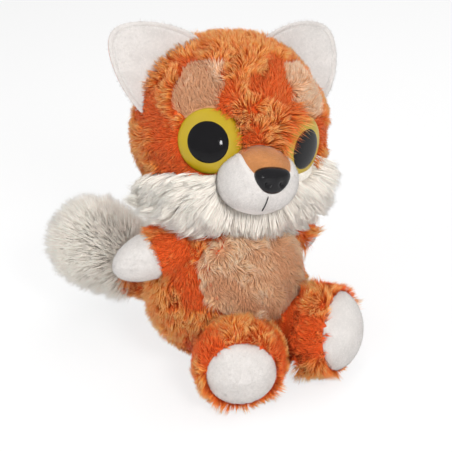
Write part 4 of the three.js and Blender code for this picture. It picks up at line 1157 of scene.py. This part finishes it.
class FOX_OT_ruff(bpy.types.Operator):
    """Long white pile of the cheeks"""

    bl_idname = "fox.ruff"
    bl_label = "Cheek ruff"

    def execute(self, context):
        for name, side in SIDES:
            self.panel(name, side, context.scene.fox_colours.white)
        self.pile(self.cheek_roots(), context.scene.fox_sizes.ruff_length / MM)
        return {"FINISHED"}

    def panel(self, name, side, white):
        """A cheek panel: a grid of height and turn on the head's surface, drawn out to the ruff's form."""
        rows, columns = 16, 40
        height = np.linspace(-RUFF_TOP_DROP - (CHEEK_DROP + 0.5) * (side < 0), -RUFF_LOW_DROP, rows)
        low = HEAD.low_share * height / HEAD.half[2]
        ring = np.sqrt(1 - (height / HEAD.half[2]) ** 2) * (1 - low)
        wide, deep = HEAD.half[0] * ring, HEAD.half[1] * ring
        reach = np.arccos(np.clip(-RUFF_BACK / deep, -1, 0))
        turn = np.linspace(0.008, 1, columns)[None] * reach[:, None]
        across, ahead = side * wide[:, None] * np.sin(turn), -deep[:, None] * np.cos(turn)
        grid = np.stack([across, ahead, np.repeat(height[:, None], columns, 1)], -1)
        flat = grid.reshape(-1, 3) + HEAD_CENTRE
        out = outward_of(PLAIN_HEAD, flat)
        layers = []
        for proud in (0.7, -0.6):
            layer = kept_outside(RUFF, placed(HEAD_FRAME, flat + out * proud), proud - 5.0)
            layers.append(kept_outside(BODY, layer, 2.0 + proud).reshape(grid.shape))
        points, faces = closed_sheet(*layers)
        backing = pale_knit("white", white)
        piece(f"cheek_cover_{name}", points, faces, backing, "head", [f"cheek_ruff_{name}"])

    def cheek_roots(self):
        """Roots over the cheeks, up to the rim of the left eye, clear of the muzzle, eyes and body."""
        sphere, faces = sphere_of_squares(RUFF_STEPS)
        points = kept_outside(BODY, kept_outside(RUFF, drawn_out(HEAD, sphere, 0.6), -4.0), NECK_GAP)
        roots = scattered(points, faces, RUFF_DENSITY, seed=301)
        local = in_head(roots.points)
        ragged = 0.8 * drift(roots.points, 4, seed=303) + 1.0 * drift(roots.points, 9, seed=304)
        below_eye = ease(1.5, 1.1, by_eye("left", roots.points))
        keep = on_cheek(roots.points, 0.4 + ragged * (1 - below_eye) + 3.0 * below_eye)
        keep &= (local[:, 2] > -41) & (depth_in(MUZZLE, roots.points, -0.5) > 1)
        keep &= depth_in(BODY, roots.points, 2.8) > 1
        keep &= (depth_in(BODY, roots.points, 7.0) > 1) | (local[:, 1] < -3)
        for name, _ in SIDES:
            keep &= by_eye(name, roots.points) > 1
        return chosen(roots, keep)

    def pile(self, roots, length):
        """The ruff's pile: combed away from the muzzle and down, short beside it, long below and at the
        sides."""
        local = in_head(roots.points)
        away = unit(local - (-1.5, -44.0, -16.0)) * (1, 0.35, 1) + np.array([0, 0, -0.28])
        comb = away @ HEAD_FRAME[:3, :3].T + drift_vectors(roots.points, 13.0, seed=320) * 0.24
        lean = tangent(comb, roots.normals)
        outer = ease(14.0, 30.0, np.linalg.norm(local - (-1.5, -38.0, -20.0), axis=1))
        size = length * (0.55 + 0.5 * outer + 0.4 * ease(-22.0, -36.0, local[:, 2]))
        size = size * (1 + 0.15 * drift(roots.points, 5.0, seed=330))
        lie = 0.9 - 0.16 * ease(-0.2, 1.0, drift(roots.points, 9.0, seed=340))
        locks = 0.3 + 0.3 * outer + 0.2 * ease(-26.0, -36.0, local[:, 2])
        fibres("ruff_pile", roots, lean, size, lie, RUFF_WIDTH, white_pile(), "head", joints=4,
               ruffle_shine=ease(-0.6, 0.6, drift(roots.points, 6.0, seed=350)), seed=302, curl=0.1,
               tufts=((1.4, 0.45), (4.0, locks)), off=((BODY, 3.0), (MUZZLE, 0.8)))


class FOX_OT_eyes(bpy.types.Operator):
    """Yellow domed eye rings and black pupils"""

    bl_idname = "fox.eyes"
    bl_label = "Eyes"

    def execute(self, context):
        c = context.scene.fox_colours
        yellow = moulded_finish(
            "Polypropylene, moulded, yellow", shade(c.eye, 0.93), shade(c.eye, 1.05), 160.0, 0.32, 0.03)
        black = moulded_finish(
            "Polystyrene, polished, black", c.black, shade(c.black, 1.8), 220.0, 0.07, 0.01, 0.2)
        floor = EYE_DOME - PUPIL_DEPTH
        for name, _ in SIDES:
            points, faces = self.disc(name, EYE_RADIUS, EYE_DOME, EYE_RIM, EYE_SINK - 1.0)
            piece(f"eye_disc_{name}", points, faces, yellow, "head", [f"eye_ring_{name}"], 1)
            points, faces = self.disc(name, PUPIL_RADIUS, EYE_DOME + PUPIL_PROUD, floor, -(floor - 0.6))
            piece(f"eye_dome_{name}", points, faces, black, "head", [f"eye_pupil_{name}"], 1)
        return {"FINISHED"}

    def disc(self, name, radius, height, edge, back):
        """A domed plastic disc: out along its back, up its rounded edge and over a quarter oval to the top,
        carried round the eye's axis."""
        angle = np.linspace(0, np.pi / 2, 18)[1:-1]
        roll = np.linspace(-np.pi / 2, 0, 5)
        rim = radius - 0.5 + 0.5 * np.cos(roll)
        r = np.concatenate([[radius * 0.3, radius * 0.9], rim, radius * np.cos(angle)])
        side = -back + 0.5 + 0.5 * np.sin(roll)
        y = np.concatenate([[-back, -back], side, edge + (height - edge) * np.sin(angle)])
        return closed_round(grid_placed(EYE_PLACES[name], rings_about(r, y, 72)))


class FOX_OT_muzzle(bpy.types.Operator):
    """White muzzle with its brown bridge, nose and mouth thread"""

    bl_idname = "fox.muzzle"
    bl_label = "Muzzle and nose"

    def execute(self, context):
        c = context.scene.fox_colours
        lean = math.radians(BRIDGE_LEAN)
        upward = head_way(0, -math.cos(lean), math.sin(lean))
        bridge = frame_along(middle_of(MUZZLE), upward, HEAD_FRAME[:3, 1])
        self.skin(bridge)
        self.bridge(bridge, c.bridge)
        self.nose(c.black)
        self.mouth()
        return {"FINISHED"}

    def skin(self, bridge):
        """The white cover of the muzzle, with nap that leaves the bridge free and lies away from the nose."""
        sphere, faces = sphere_of_squares(MUZZLE_STEPS)
        points = drawn_out(MUZZLE, sphere, -0.4)
        points = stuffed(points, faces, depth_in(HEAD, points, 0.8) < 1, 0.07)
        piece("muzzle_cover", points, faces, white_velour(), "head", ["muzzle_skin"], 1)
        roots = scattered(points, faces, NAP_DENSITY, seed=401)
        free = within(bridge, roots.points, BRIDGE_HALF, BRIDGE_SQUARENESS) > 1.0
        roots = chosen(roots, free & (depth_in(HEAD, roots.points, 0.5) > 1))
        nose = placed(HEAD_FRAME, (MUZZLE.centre + (0, -MUZZLE.half[1], 4.0))[None])[0]
        comb = unit(roots.points - nose) + head_way(0, 0.3, -0.3)
        nap("muzzle_nap", roots, comb, white_nap(), "head", 402)

    def bridge(self, place, brown):
        """The brown panel over the top of the muzzle."""
        points, faces = patch(MUZZLE, place, BRIDGE_HALF, 0.75, 0.6, 16, 80, BRIDGE_SQUARENESS)
        velour = brown_velour()
        piece("bridge_cover", points, faces, velour, "head", ["muzzle_bridge"], 1)
        roots = scattered(points, faces, NAP_DENSITY, seed=403)
        outside = (depth_in(MUZZLE, roots.points) > 1.02) & (depth_in(HEAD, roots.points, 0.5) > 1)
        roots = chosen(roots, outside)
        brown_nap = nap_finish("brown", brown, 0.7, 0.92, 1.0, 1.15)
        nap("bridge_nap", roots, head_way(0, 0.4, 1.0), brown_nap, "head", 404, 0.8)

    def nose(self, colour):
        """The nose: a unit sphere, wider at its top and squared a little, with two dents for nostrils."""
        sphere, faces = sphere_of_squares(NOSE_STEPS)
        squared = np.sign(sphere) * np.abs(sphere) ** NOSE_SQUARENESS
        local = squared * swollen(np.array(NOSE_HALF), 1 + NOSE_SWELL * squared[:, 2:])
        for side in (-1, 1):
            gap = np.hypot(local[:, 0] - side * NOSTRIL_OUT, local[:, 2] + NOSTRIL_DROP)
            local[:, 1] -= NOSTRIL_DEPTH * np.exp(-((gap / NOSTRIL_RADIUS) ** 2)) * (local[:, 1] > 0)
        centre = MUZZLE.centre + (0, NOSE_SINK - MUZZLE.half[1], NOSE_RISE)
        place = HEAD_FRAME @ frame_along(centre, (0, -1, 0))
        black = moulded_finish("ABS, moulded, black", colour, shade(colour, 2.2), 260.0, 0.2, 0.12, 0.3)
        piece("nose_cap", placed(place, local), faces, black, "head", ["nose"], 1)

    def mouth(self):
        """The mouth thread: a line down the muzzle from under the nose, as two plies twisted together."""
        twists, twist_radius, ply_radius = 7, 0.11, 0.18
        s = np.linspace(0, 1, 40)
        aim = np.stack([-0.097 - 0.05 * s, -1 + 0 * s, -0.4 - 0.98 * s], 1)
        black = knit_finish("Embroidery thread, black", linear("#09080A"), linear("#1A181B"))
        ways = unit(aim @ HEAD_FRAME[:3, :3].T)
        line = np.concatenate([surface_along(MUZZLE, middle_of(MUZZLE)[None], way, 0.75) for way in ways])
        out = outward_of(MUZZLE, line)
        along = unit(np.gradient(line, axis=0))
        across = np.cross(along, out)
        turn = circle(10)[None, :, None]
        size = ply_radius * np.sqrt(np.clip(1 - (2 * s - 1) ** 8, 0.05, 1))
        for ply in (0, 1):
            a = 2 * np.pi * twists * s + ply * np.pi
            core = line + twist_radius * (np.cos(a)[:, None] * across + np.sin(a)[:, None] * out)
            star = np.cos(turn) * across[:, None] + np.sin(turn) * out[:, None]
            points, faces = closed_round(core[:, None] + size[:, None, None] * star)
            piece(f"mouth_thread_{ply + 1}", points, faces, black, "head")


class FOX_OT_ears(bpy.types.Operator):
    """White ear fronts sewn to orange backs"""

    bl_idname = "fox.ears"
    bl_label = "Ears"

    def execute(self, context):
        for name, side in SIDES:
            place = ear_place(name, side)
            self.front(name, side, place)
            self.rear(name, side, place, context.scene.fox_sizes.plush_density)
        return {"FINISHED"}

    def front(self, name, side, place):
        """The white front, whose nap is longer and stands more round its rim."""
        body = f"ear_{name}"
        points, faces = self.leaf(1.0, -0.9, place, 0.5)
        velour = white_velour()
        piece(f"ear_face_{name}", points, faces, velour, body, [f"ear_front_{name}"], 1)
        roots = scattered(points, faces, NAP_DENSITY, seed=510 + side)
        facing = roots.normals @ place[:3, 1]
        roots = chosen(roots, (facing < 0.6) & (depth_in(HEAD, roots.points, 0.5) > 1))
        comb = place[:3, 2] + 0.5 * unit(roots.points - place[:3, 3])
        rim = ease(-0.75, -0.2, roots.normals @ place[:3, 1])
        nap(f"ear_nap_{name}", roots, comb, white_nap(), body, 520 + side, 1 + 0.7 * rim,
            0.7 - 0.4 * rim)

    def rear(self, name, side, place, density):
        """The orange back, whose pile is shorter and calmer towards its rim."""
        body = f"ear_{name}"
        points, faces = self.leaf(0.6, 0.9, place, 0.0)
        piece(f"ear_rear_{name}", points, faces, orange_knit(), body, [f"ear_back_{name}"])
        roots = scattered(points, faces, density, seed=530 + side)
        facing = roots.normals @ place[:3, 1]
        roots = chosen(roots, (facing > 0.62) & (depth_in(HEAD, roots.points, 0.5) > 1))
        comb = -unit(roots.points - place[:3, 3] - 12 * place[:3, 2])
        local = seen_from(place, roots.points)
        across = local[:, 0] / self.narrowing(local[:, 2]) / EAR_HALF[0]
        edge = ease(0.66, 0.9, np.hypot(across, local[:, 2] / EAR_HALF[1]))
        plush(f"ear_plush_{name}", roots, comb, orange_pile(), body, 540 + side,
              0.7 - 0.3 * edge, calm=1.6 * edge)

    def leaf(self, edge, offset, place, groove):
        """One ear layer: from its middle over a rounded edge to the middle of its back, an oval that narrows
        to its tip, ends on the head and dishes by the square of the distance across. A groove runs inside its
        edge, where the seam is stitched down. The rings share a middle above the head, and are the outline
        drawn in towards it."""
        f = np.concatenate([np.linspace(0.04, 0.8, 9), np.linspace(0.83, 1, 10)])
        share = np.concatenate([f, f[::-1]])
        half = EAR_LAYER_HALF * np.sqrt(np.clip(1 - f**7, 0.0, 1)) + 0.02
        seam = groove * np.exp(-(((f - 0.88) / 0.03) ** 2))
        thick = np.concatenate([seam - half, half[::-1]])
        turn = circle(EAR_COLUMNS)
        rim_z = (EAR_HALF[1] + edge) * np.sin(turn)
        rim_x = (EAR_HALF[0] + edge) * np.cos(turn) * self.narrowing(rim_z)
        near, far = np.zeros(EAR_COLUMNS), np.ones(EAR_COLUMNS)
        for _ in range(EAR_HALVINGS):
            middle = (near + far) / 2
            x, z = rim_x * middle, EAR_MIDDLE + (rim_z - EAR_MIDDLE) * middle
            free = depth_in(HEAD, placed(place, np.stack([x, offset - self.dish(x, z), z], -1)), 0.3) > 1
            near, far = np.where(free, middle, near), np.where(free, far, middle)
        x = np.outer(share, rim_x * near)
        z = EAR_MIDDLE + np.outer(share, (rim_z - EAR_MIDDLE) * near)
        y = thick[:, None] + offset - self.dish(x, z)
        points = placed(place, np.stack([x, y, z], -1).reshape(-1, 3))
        return closed_round(kept_outside(HEAD, points, 0.2).reshape(len(share), EAR_COLUMNS, 3))

    def narrowing(self, z):
        """The share of its width that an ear has at a height: less by a square law towards the tip."""
        return 1 - EAR_TIP_SHARE * ((z / EAR_HALF[1] + 1) / 2) ** 2

    def dish(self, x, z):
        """How far an ear's middle lies forward: a dish by the squares of distances, less a soft crease."""
        hollow = EAR_DISH * ((x / self.narrowing(z) / EAR_HALF[0]) ** 2 - (z / EAR_HALF[1]) ** 2 / 2)
        return hollow - 0.9 * np.exp(-(((x - 3 + 0.25 * z) / 3.0) ** 2)) * np.exp(-(((z + 6) / 14) ** 2))


class FOX_OT_limbs(bpy.types.Operator):
    """Arms with white paws, legs with white soles"""

    bl_idname = "fox.limbs"
    bl_label = "Arms and legs"

    def execute(self, context):
        density = context.scene.fox_sizes.plush_density
        for name, side in SIDES:
            self.sleeve(name, side, density)
            self.paw(name, side)
            sole = self.sole_place(name, side)
            self.leg(name, side, sole, density)
            self.sole(name, side, sole)
        return {"FINISHED"}

    def sleeve(self, name, side, density):
        """An arm's orange sleeve. The pile of the left one, half hidden by the ruff, lengthens to its paw."""
        place, body = arm_place(name, side), f"arm_{name}"
        rings = limb_rings(ARM, place, -4.0, CUFF_REACH, grow=0.2, seams=(CUFF_REACH,))
        points, faces = closed_round(rings)
        sleeve = [f"arm_sleeve_{name}"]
        piece(f"arm_cover_{name}", points, faces, orange_knit(), body, sleeve)
        roots = scattered(points, faces, density, seed=610 + side)
        local = seen_from(place, roots.points)
        on_sleeve = (local[:, 1] < CUFF_REACH - 0.4) & (np.hypot(local[:, 0], local[:, 2]) > 8.5)
        roots = chosen(roots, on_sleeve & (depth_in(BODY, roots.points) > 1))
        length = 1 + 0.9 * (side > 0) * ease(0.0, CUFF_REACH, seen_from(place, roots.points)[:, 1])
        pile = orange_pile(shade_lifted=True)
        plush(f"arm_plush_{name}", roots, place[:3, 1], pile, body, 620 + side, length)

    def paw(self, name, side):
        """The white end of an arm, held along its seam."""
        place, body = arm_place(name, side), f"arm_{name}"
        rings = limb_rings(ARM, place, CUFF_REACH + SEAM_GAP, PAST_LIMB, 48, grow=-0.3, seams=(CUFF_REACH,))
        points, faces = closed_round(rings)
        points = stuffed(points, faces, seen_from(place, points)[:, 1] < CUFF_REACH + 0.8, 0.07)
        velour = white_velour()
        piece(f"paw_cover_{name}", points, faces, velour, body, [f"paw_{name}"])
        roots = scattered(points, faces, NAP_DENSITY, seed=630 + side)
        roots = chosen(roots, seen_from(place, roots.points)[:, 1] > CUFF_REACH + 0.6)
        nap(f"paw_nap_{name}", roots, place[:3, 1], white_nap(), body, 640 + side)

    def foot(self, name, side):
        """The rounded end of a leg as a form of its own, which the sole is sewn to."""
        half = np.array([LEG.end, LEG.bulge, LEG.tall])
        return Form(half, np.array([0, LEG.reach, 0.0]), 0.0, leg_place(name, side))

    def sole_place(self, name, side):
        """The frame of a sole, in the middle of the foot, whose Y runs out of it and a little up."""
        splay, rise = math.radians(LEG_ROOTS[name][2]), math.radians(SOLE_RISE)
        facing = (side * math.sin(splay) * math.cos(rise), -math.cos(splay) * math.cos(rise), math.sin(rise))
        return frame_along(middle_of(self.foot(name, side)), facing)

    def leg(self, name, side, sole, density):
        """A leg's orange skin. Its pile is combed back from the sole, over its rim in places, shorter near
        the table and longer between the feet."""
        place, body = leg_place(name, side), f"leg_{name}"
        points, faces = closed_round(limb_rings(LEG, place, 3.0, PAST_LIMB, 56, grow=-0.4))
        along = seen_from(place, points)[:, 1]
        points = stuffed(points, faces, (along < 4) | (along > LEG.reach + LEG.bulge - 4))
        points = over_table(points, COVER_OVER_TABLE)
        skin = [f"leg_skin_{name}"]
        piece(f"leg_cover_{name}", points, faces, orange_knit(), body, skin)
        roots = scattered(points, faces, density, seed=650 + side)
        wide = (SOLE_WIDTHS[name], SOLE_WIDTHS[name])
        off_sole = within(sole, roots.points, wide) > 1.0 + 0.03 * drift(roots.points, 3, seed=9)
        roots = chosen(roots, off_sole & (depth_in(BODY, roots.points) > 1))
        away = unit(roots.points - sole[:3, 3])
        comb = -place[:3, 1] * 0.8 + place[:3, 2] * 0.2 + 0.9 * away
        rim = ease(1.16, 1.02, within(sole, roots.points, wide))
        rim = rim * ease(-0.5, 0.5, drift(roots.points, 7.0, seed=665))
        comb = comb * (1 - rim)[:, None] - rim[:, None] * (away - 1.2 * sole[:3, 1])
        between = np.exp(-(((roots.points - BETWEEN_FEET) ** 2).sum(1)) / 60.0)
        length = (1 + 0.5 * rim) * (1 - 0.42 * ease(8.0, 1.5, roots.points[:, 2])) + 0.9 * between
        pile = orange_pile(shade_lifted=True)
        plush(f"leg_plush_{name}", roots, comb, pile, body, 660 + side, length,
              table=PILE_OVER_TABLE, lift=0.42 * rim + 0.3 * between)

    def sole(self, name, side, sole):
        """The white sole, held along its seam, with nap that lies outwards and down."""
        foot, body = self.foot(name, side), f"leg_{name}"
        wide = (SOLE_WIDTHS[name], SOLE_WIDTHS[name])
        points, faces = patch(foot, sole, wide, 0.5, 0.6, 16, 72)
        held = (within(sole, points, wide) > 0.97) | (depth_in(foot, points) < 1)
        points = over_table(stuffed(points, faces, held, 0.08), COVER_OVER_TABLE + 0.1)
        panel = [f"foot_sole_{name}"]
        piece(f"sole_cover_{name}", points, faces, white_velour(), body, panel)
        roots = scattered(points, faces, NAP_DENSITY, seed=670 + side)
        roots = chosen(roots, depth_in(foot, roots.points) > 1.01)
        comb = unit(roots.points - sole[:3, 3] - 16 * sole[:3, 1]) + np.array([0, 0, -0.5])
        nap(f"sole_nap_{name}", roots, comb, white_nap(), body, 680 + side)


class FOX_OT_tail(bpy.types.Operator):
    """Orange tail base and its long-haired white end"""

    bl_idname = "fox.tail"
    bl_label = "Tail"

    def execute(self, context):
        sizes = context.scene.fox_sizes
        self.base(sizes.plush_density * 0.55)
        self.end(sizes.tail_length / MM, context.scene.fox_colours.white)
        return {"FINISHED"}

    def base(self, density):
        """The orange base, combed towards the end."""
        rings = limb_rings(TAIL, TAIL_PLACE, -2.0, TAIL_SEAM, grow=0.2, seams=(TAIL_SEAM,))
        points, faces = closed_round(rings)
        piece("tail_cover", points, faces, orange_knit(), "tail", ["tail_base"])
        roots = scattered(points, faces, density, seed=701)
        local = seen_from(TAIL_PLACE, roots.points)
        roots = chosen(roots, (depth_in(BODY, roots.points) > 1) & (np.hypot(local[:, 0], local[:, 2]) > 6))
        plush("tail_plush", roots, TAIL_PLACE[:3, 1], orange_pile(), "tail", 702,
              table=PILE_OVER_TABLE)

    def end(self, length, white):
        """The white end, whose pile stands off a smaller cover and lies down only round its tip."""
        rings = limb_rings(TAIL, TAIL_PLACE, TAIL_SEAM + SEAM_GAP, PAST_LIMB, grow=-3.0, seams=(TAIL_SEAM,))
        points, faces = closed_round(rings)
        backing = pale_knit("white", white)
        piece("tail_end_cover", points, faces, backing, "tail", ["tail_tip"])
        roots = scattered(points, faces, TAIL_DENSITY, seed=703)
        roots = chosen(roots, seen_from(TAIL_PLACE, roots.points)[:, 1] > TAIL_SEAM + 0.5)
        comb = TAIL_PLACE[:3, 1] + np.array([0, 0, -0.25]) + drift_vectors(roots.points, 9.0, seed=720) * 0.24
        lean = tangent(comb, roots.normals)
        tip = ease(0.75, 0.97, roots.normals @ TAIL_PLACE[:3, 1])
        lie = 0.4 + 0.1 * drift(roots.points, 6.0, seed=730) + 0.4 * tip
        size = length * (1 + 0.12 * drift(roots.points, 5.0, seed=740))
        fibres("tail_pile", roots, lean, size, lie, TAIL_WIDTH, white_pile(), "tail", joints=3,
               ruffle_shine=ease(-0.6, 0.6, drift(roots.points, 6.0, seed=750)), seed=704, curl=0.1,
               tufts=((1.6, 0.4), (3.8, 0.24)), table=0.3)


class FOX_OT_inside(bpy.types.Operator):
    """Finishes for the filling and the washers inside"""

    bl_idname = "fox.inside"
    bl_label = "Filling and washers"

    def execute(self, context):
        filling = velour_finish("Polyester fibre filling", linear("#DAD8D2"), linear("#F2F0EA"), 400.0)
        clear = moulded_finish(
            "Polyethylene washer, moulded", linear("#CFCDC5"), linear("#E2E0D8"), 200.0, 0.4)
        for name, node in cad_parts.items():
            if "stuffing" in name or "washer" in name:
                node.data.materials.clear()
                node.data.materials.append(filling if "stuffing" in name else clear)
        return {"FINISHED"}


STEPS = ("stage", "body", "head", "ruff", "eyes", "muzzle", "ears", "limbs", "tail", "inside")


class FOX_PT_panel(bpy.types.Panel):
    """The steps that build the fox, with its sizes and colours"""

    bl_idname = "FOX_PT_panel"
    bl_label = "Plush fox"
    bl_space_type = "VIEW_3D"
    bl_region_type = "UI"
    bl_category = "Fox"

    def draw(self, context):
        for group in (context.scene.fox_sizes, context.scene.fox_colours):
            for key in group.bl_rna.properties.keys():
                if key not in ("rna_type", "name"):
                    self.layout.prop(group, key)
        for step in STEPS:
            self.layout.operator(f"fox.{step}")


CLASSES = (
    FoxSizes, FoxColours, FOX_OT_stage, FOX_OT_body, FOX_OT_head, FOX_OT_ruff, FOX_OT_eyes, FOX_OT_muzzle,
    FOX_OT_ears, FOX_OT_limbs, FOX_OT_tail, FOX_OT_inside, FOX_PT_panel,
)


def register():
    for cls in CLASSES:
        bpy.utils.register_class(cls)
    bpy.types.Scene.fox_sizes = bpy.props.PointerProperty(type=FoxSizes)
    bpy.types.Scene.fox_colours = bpy.props.PointerProperty(type=FoxColours)


def unregister():
    del bpy.types.Scene.fox_colours, bpy.types.Scene.fox_sizes
    for cls in reversed(CLASSES):
        bpy.utils.unregister_class(cls)


def main():
    """Registers the classes and runs the steps in order."""
    register()
    for step in STEPS:
        getattr(bpy.ops.fox, step)()


if __name__ == "__main__":
    main()
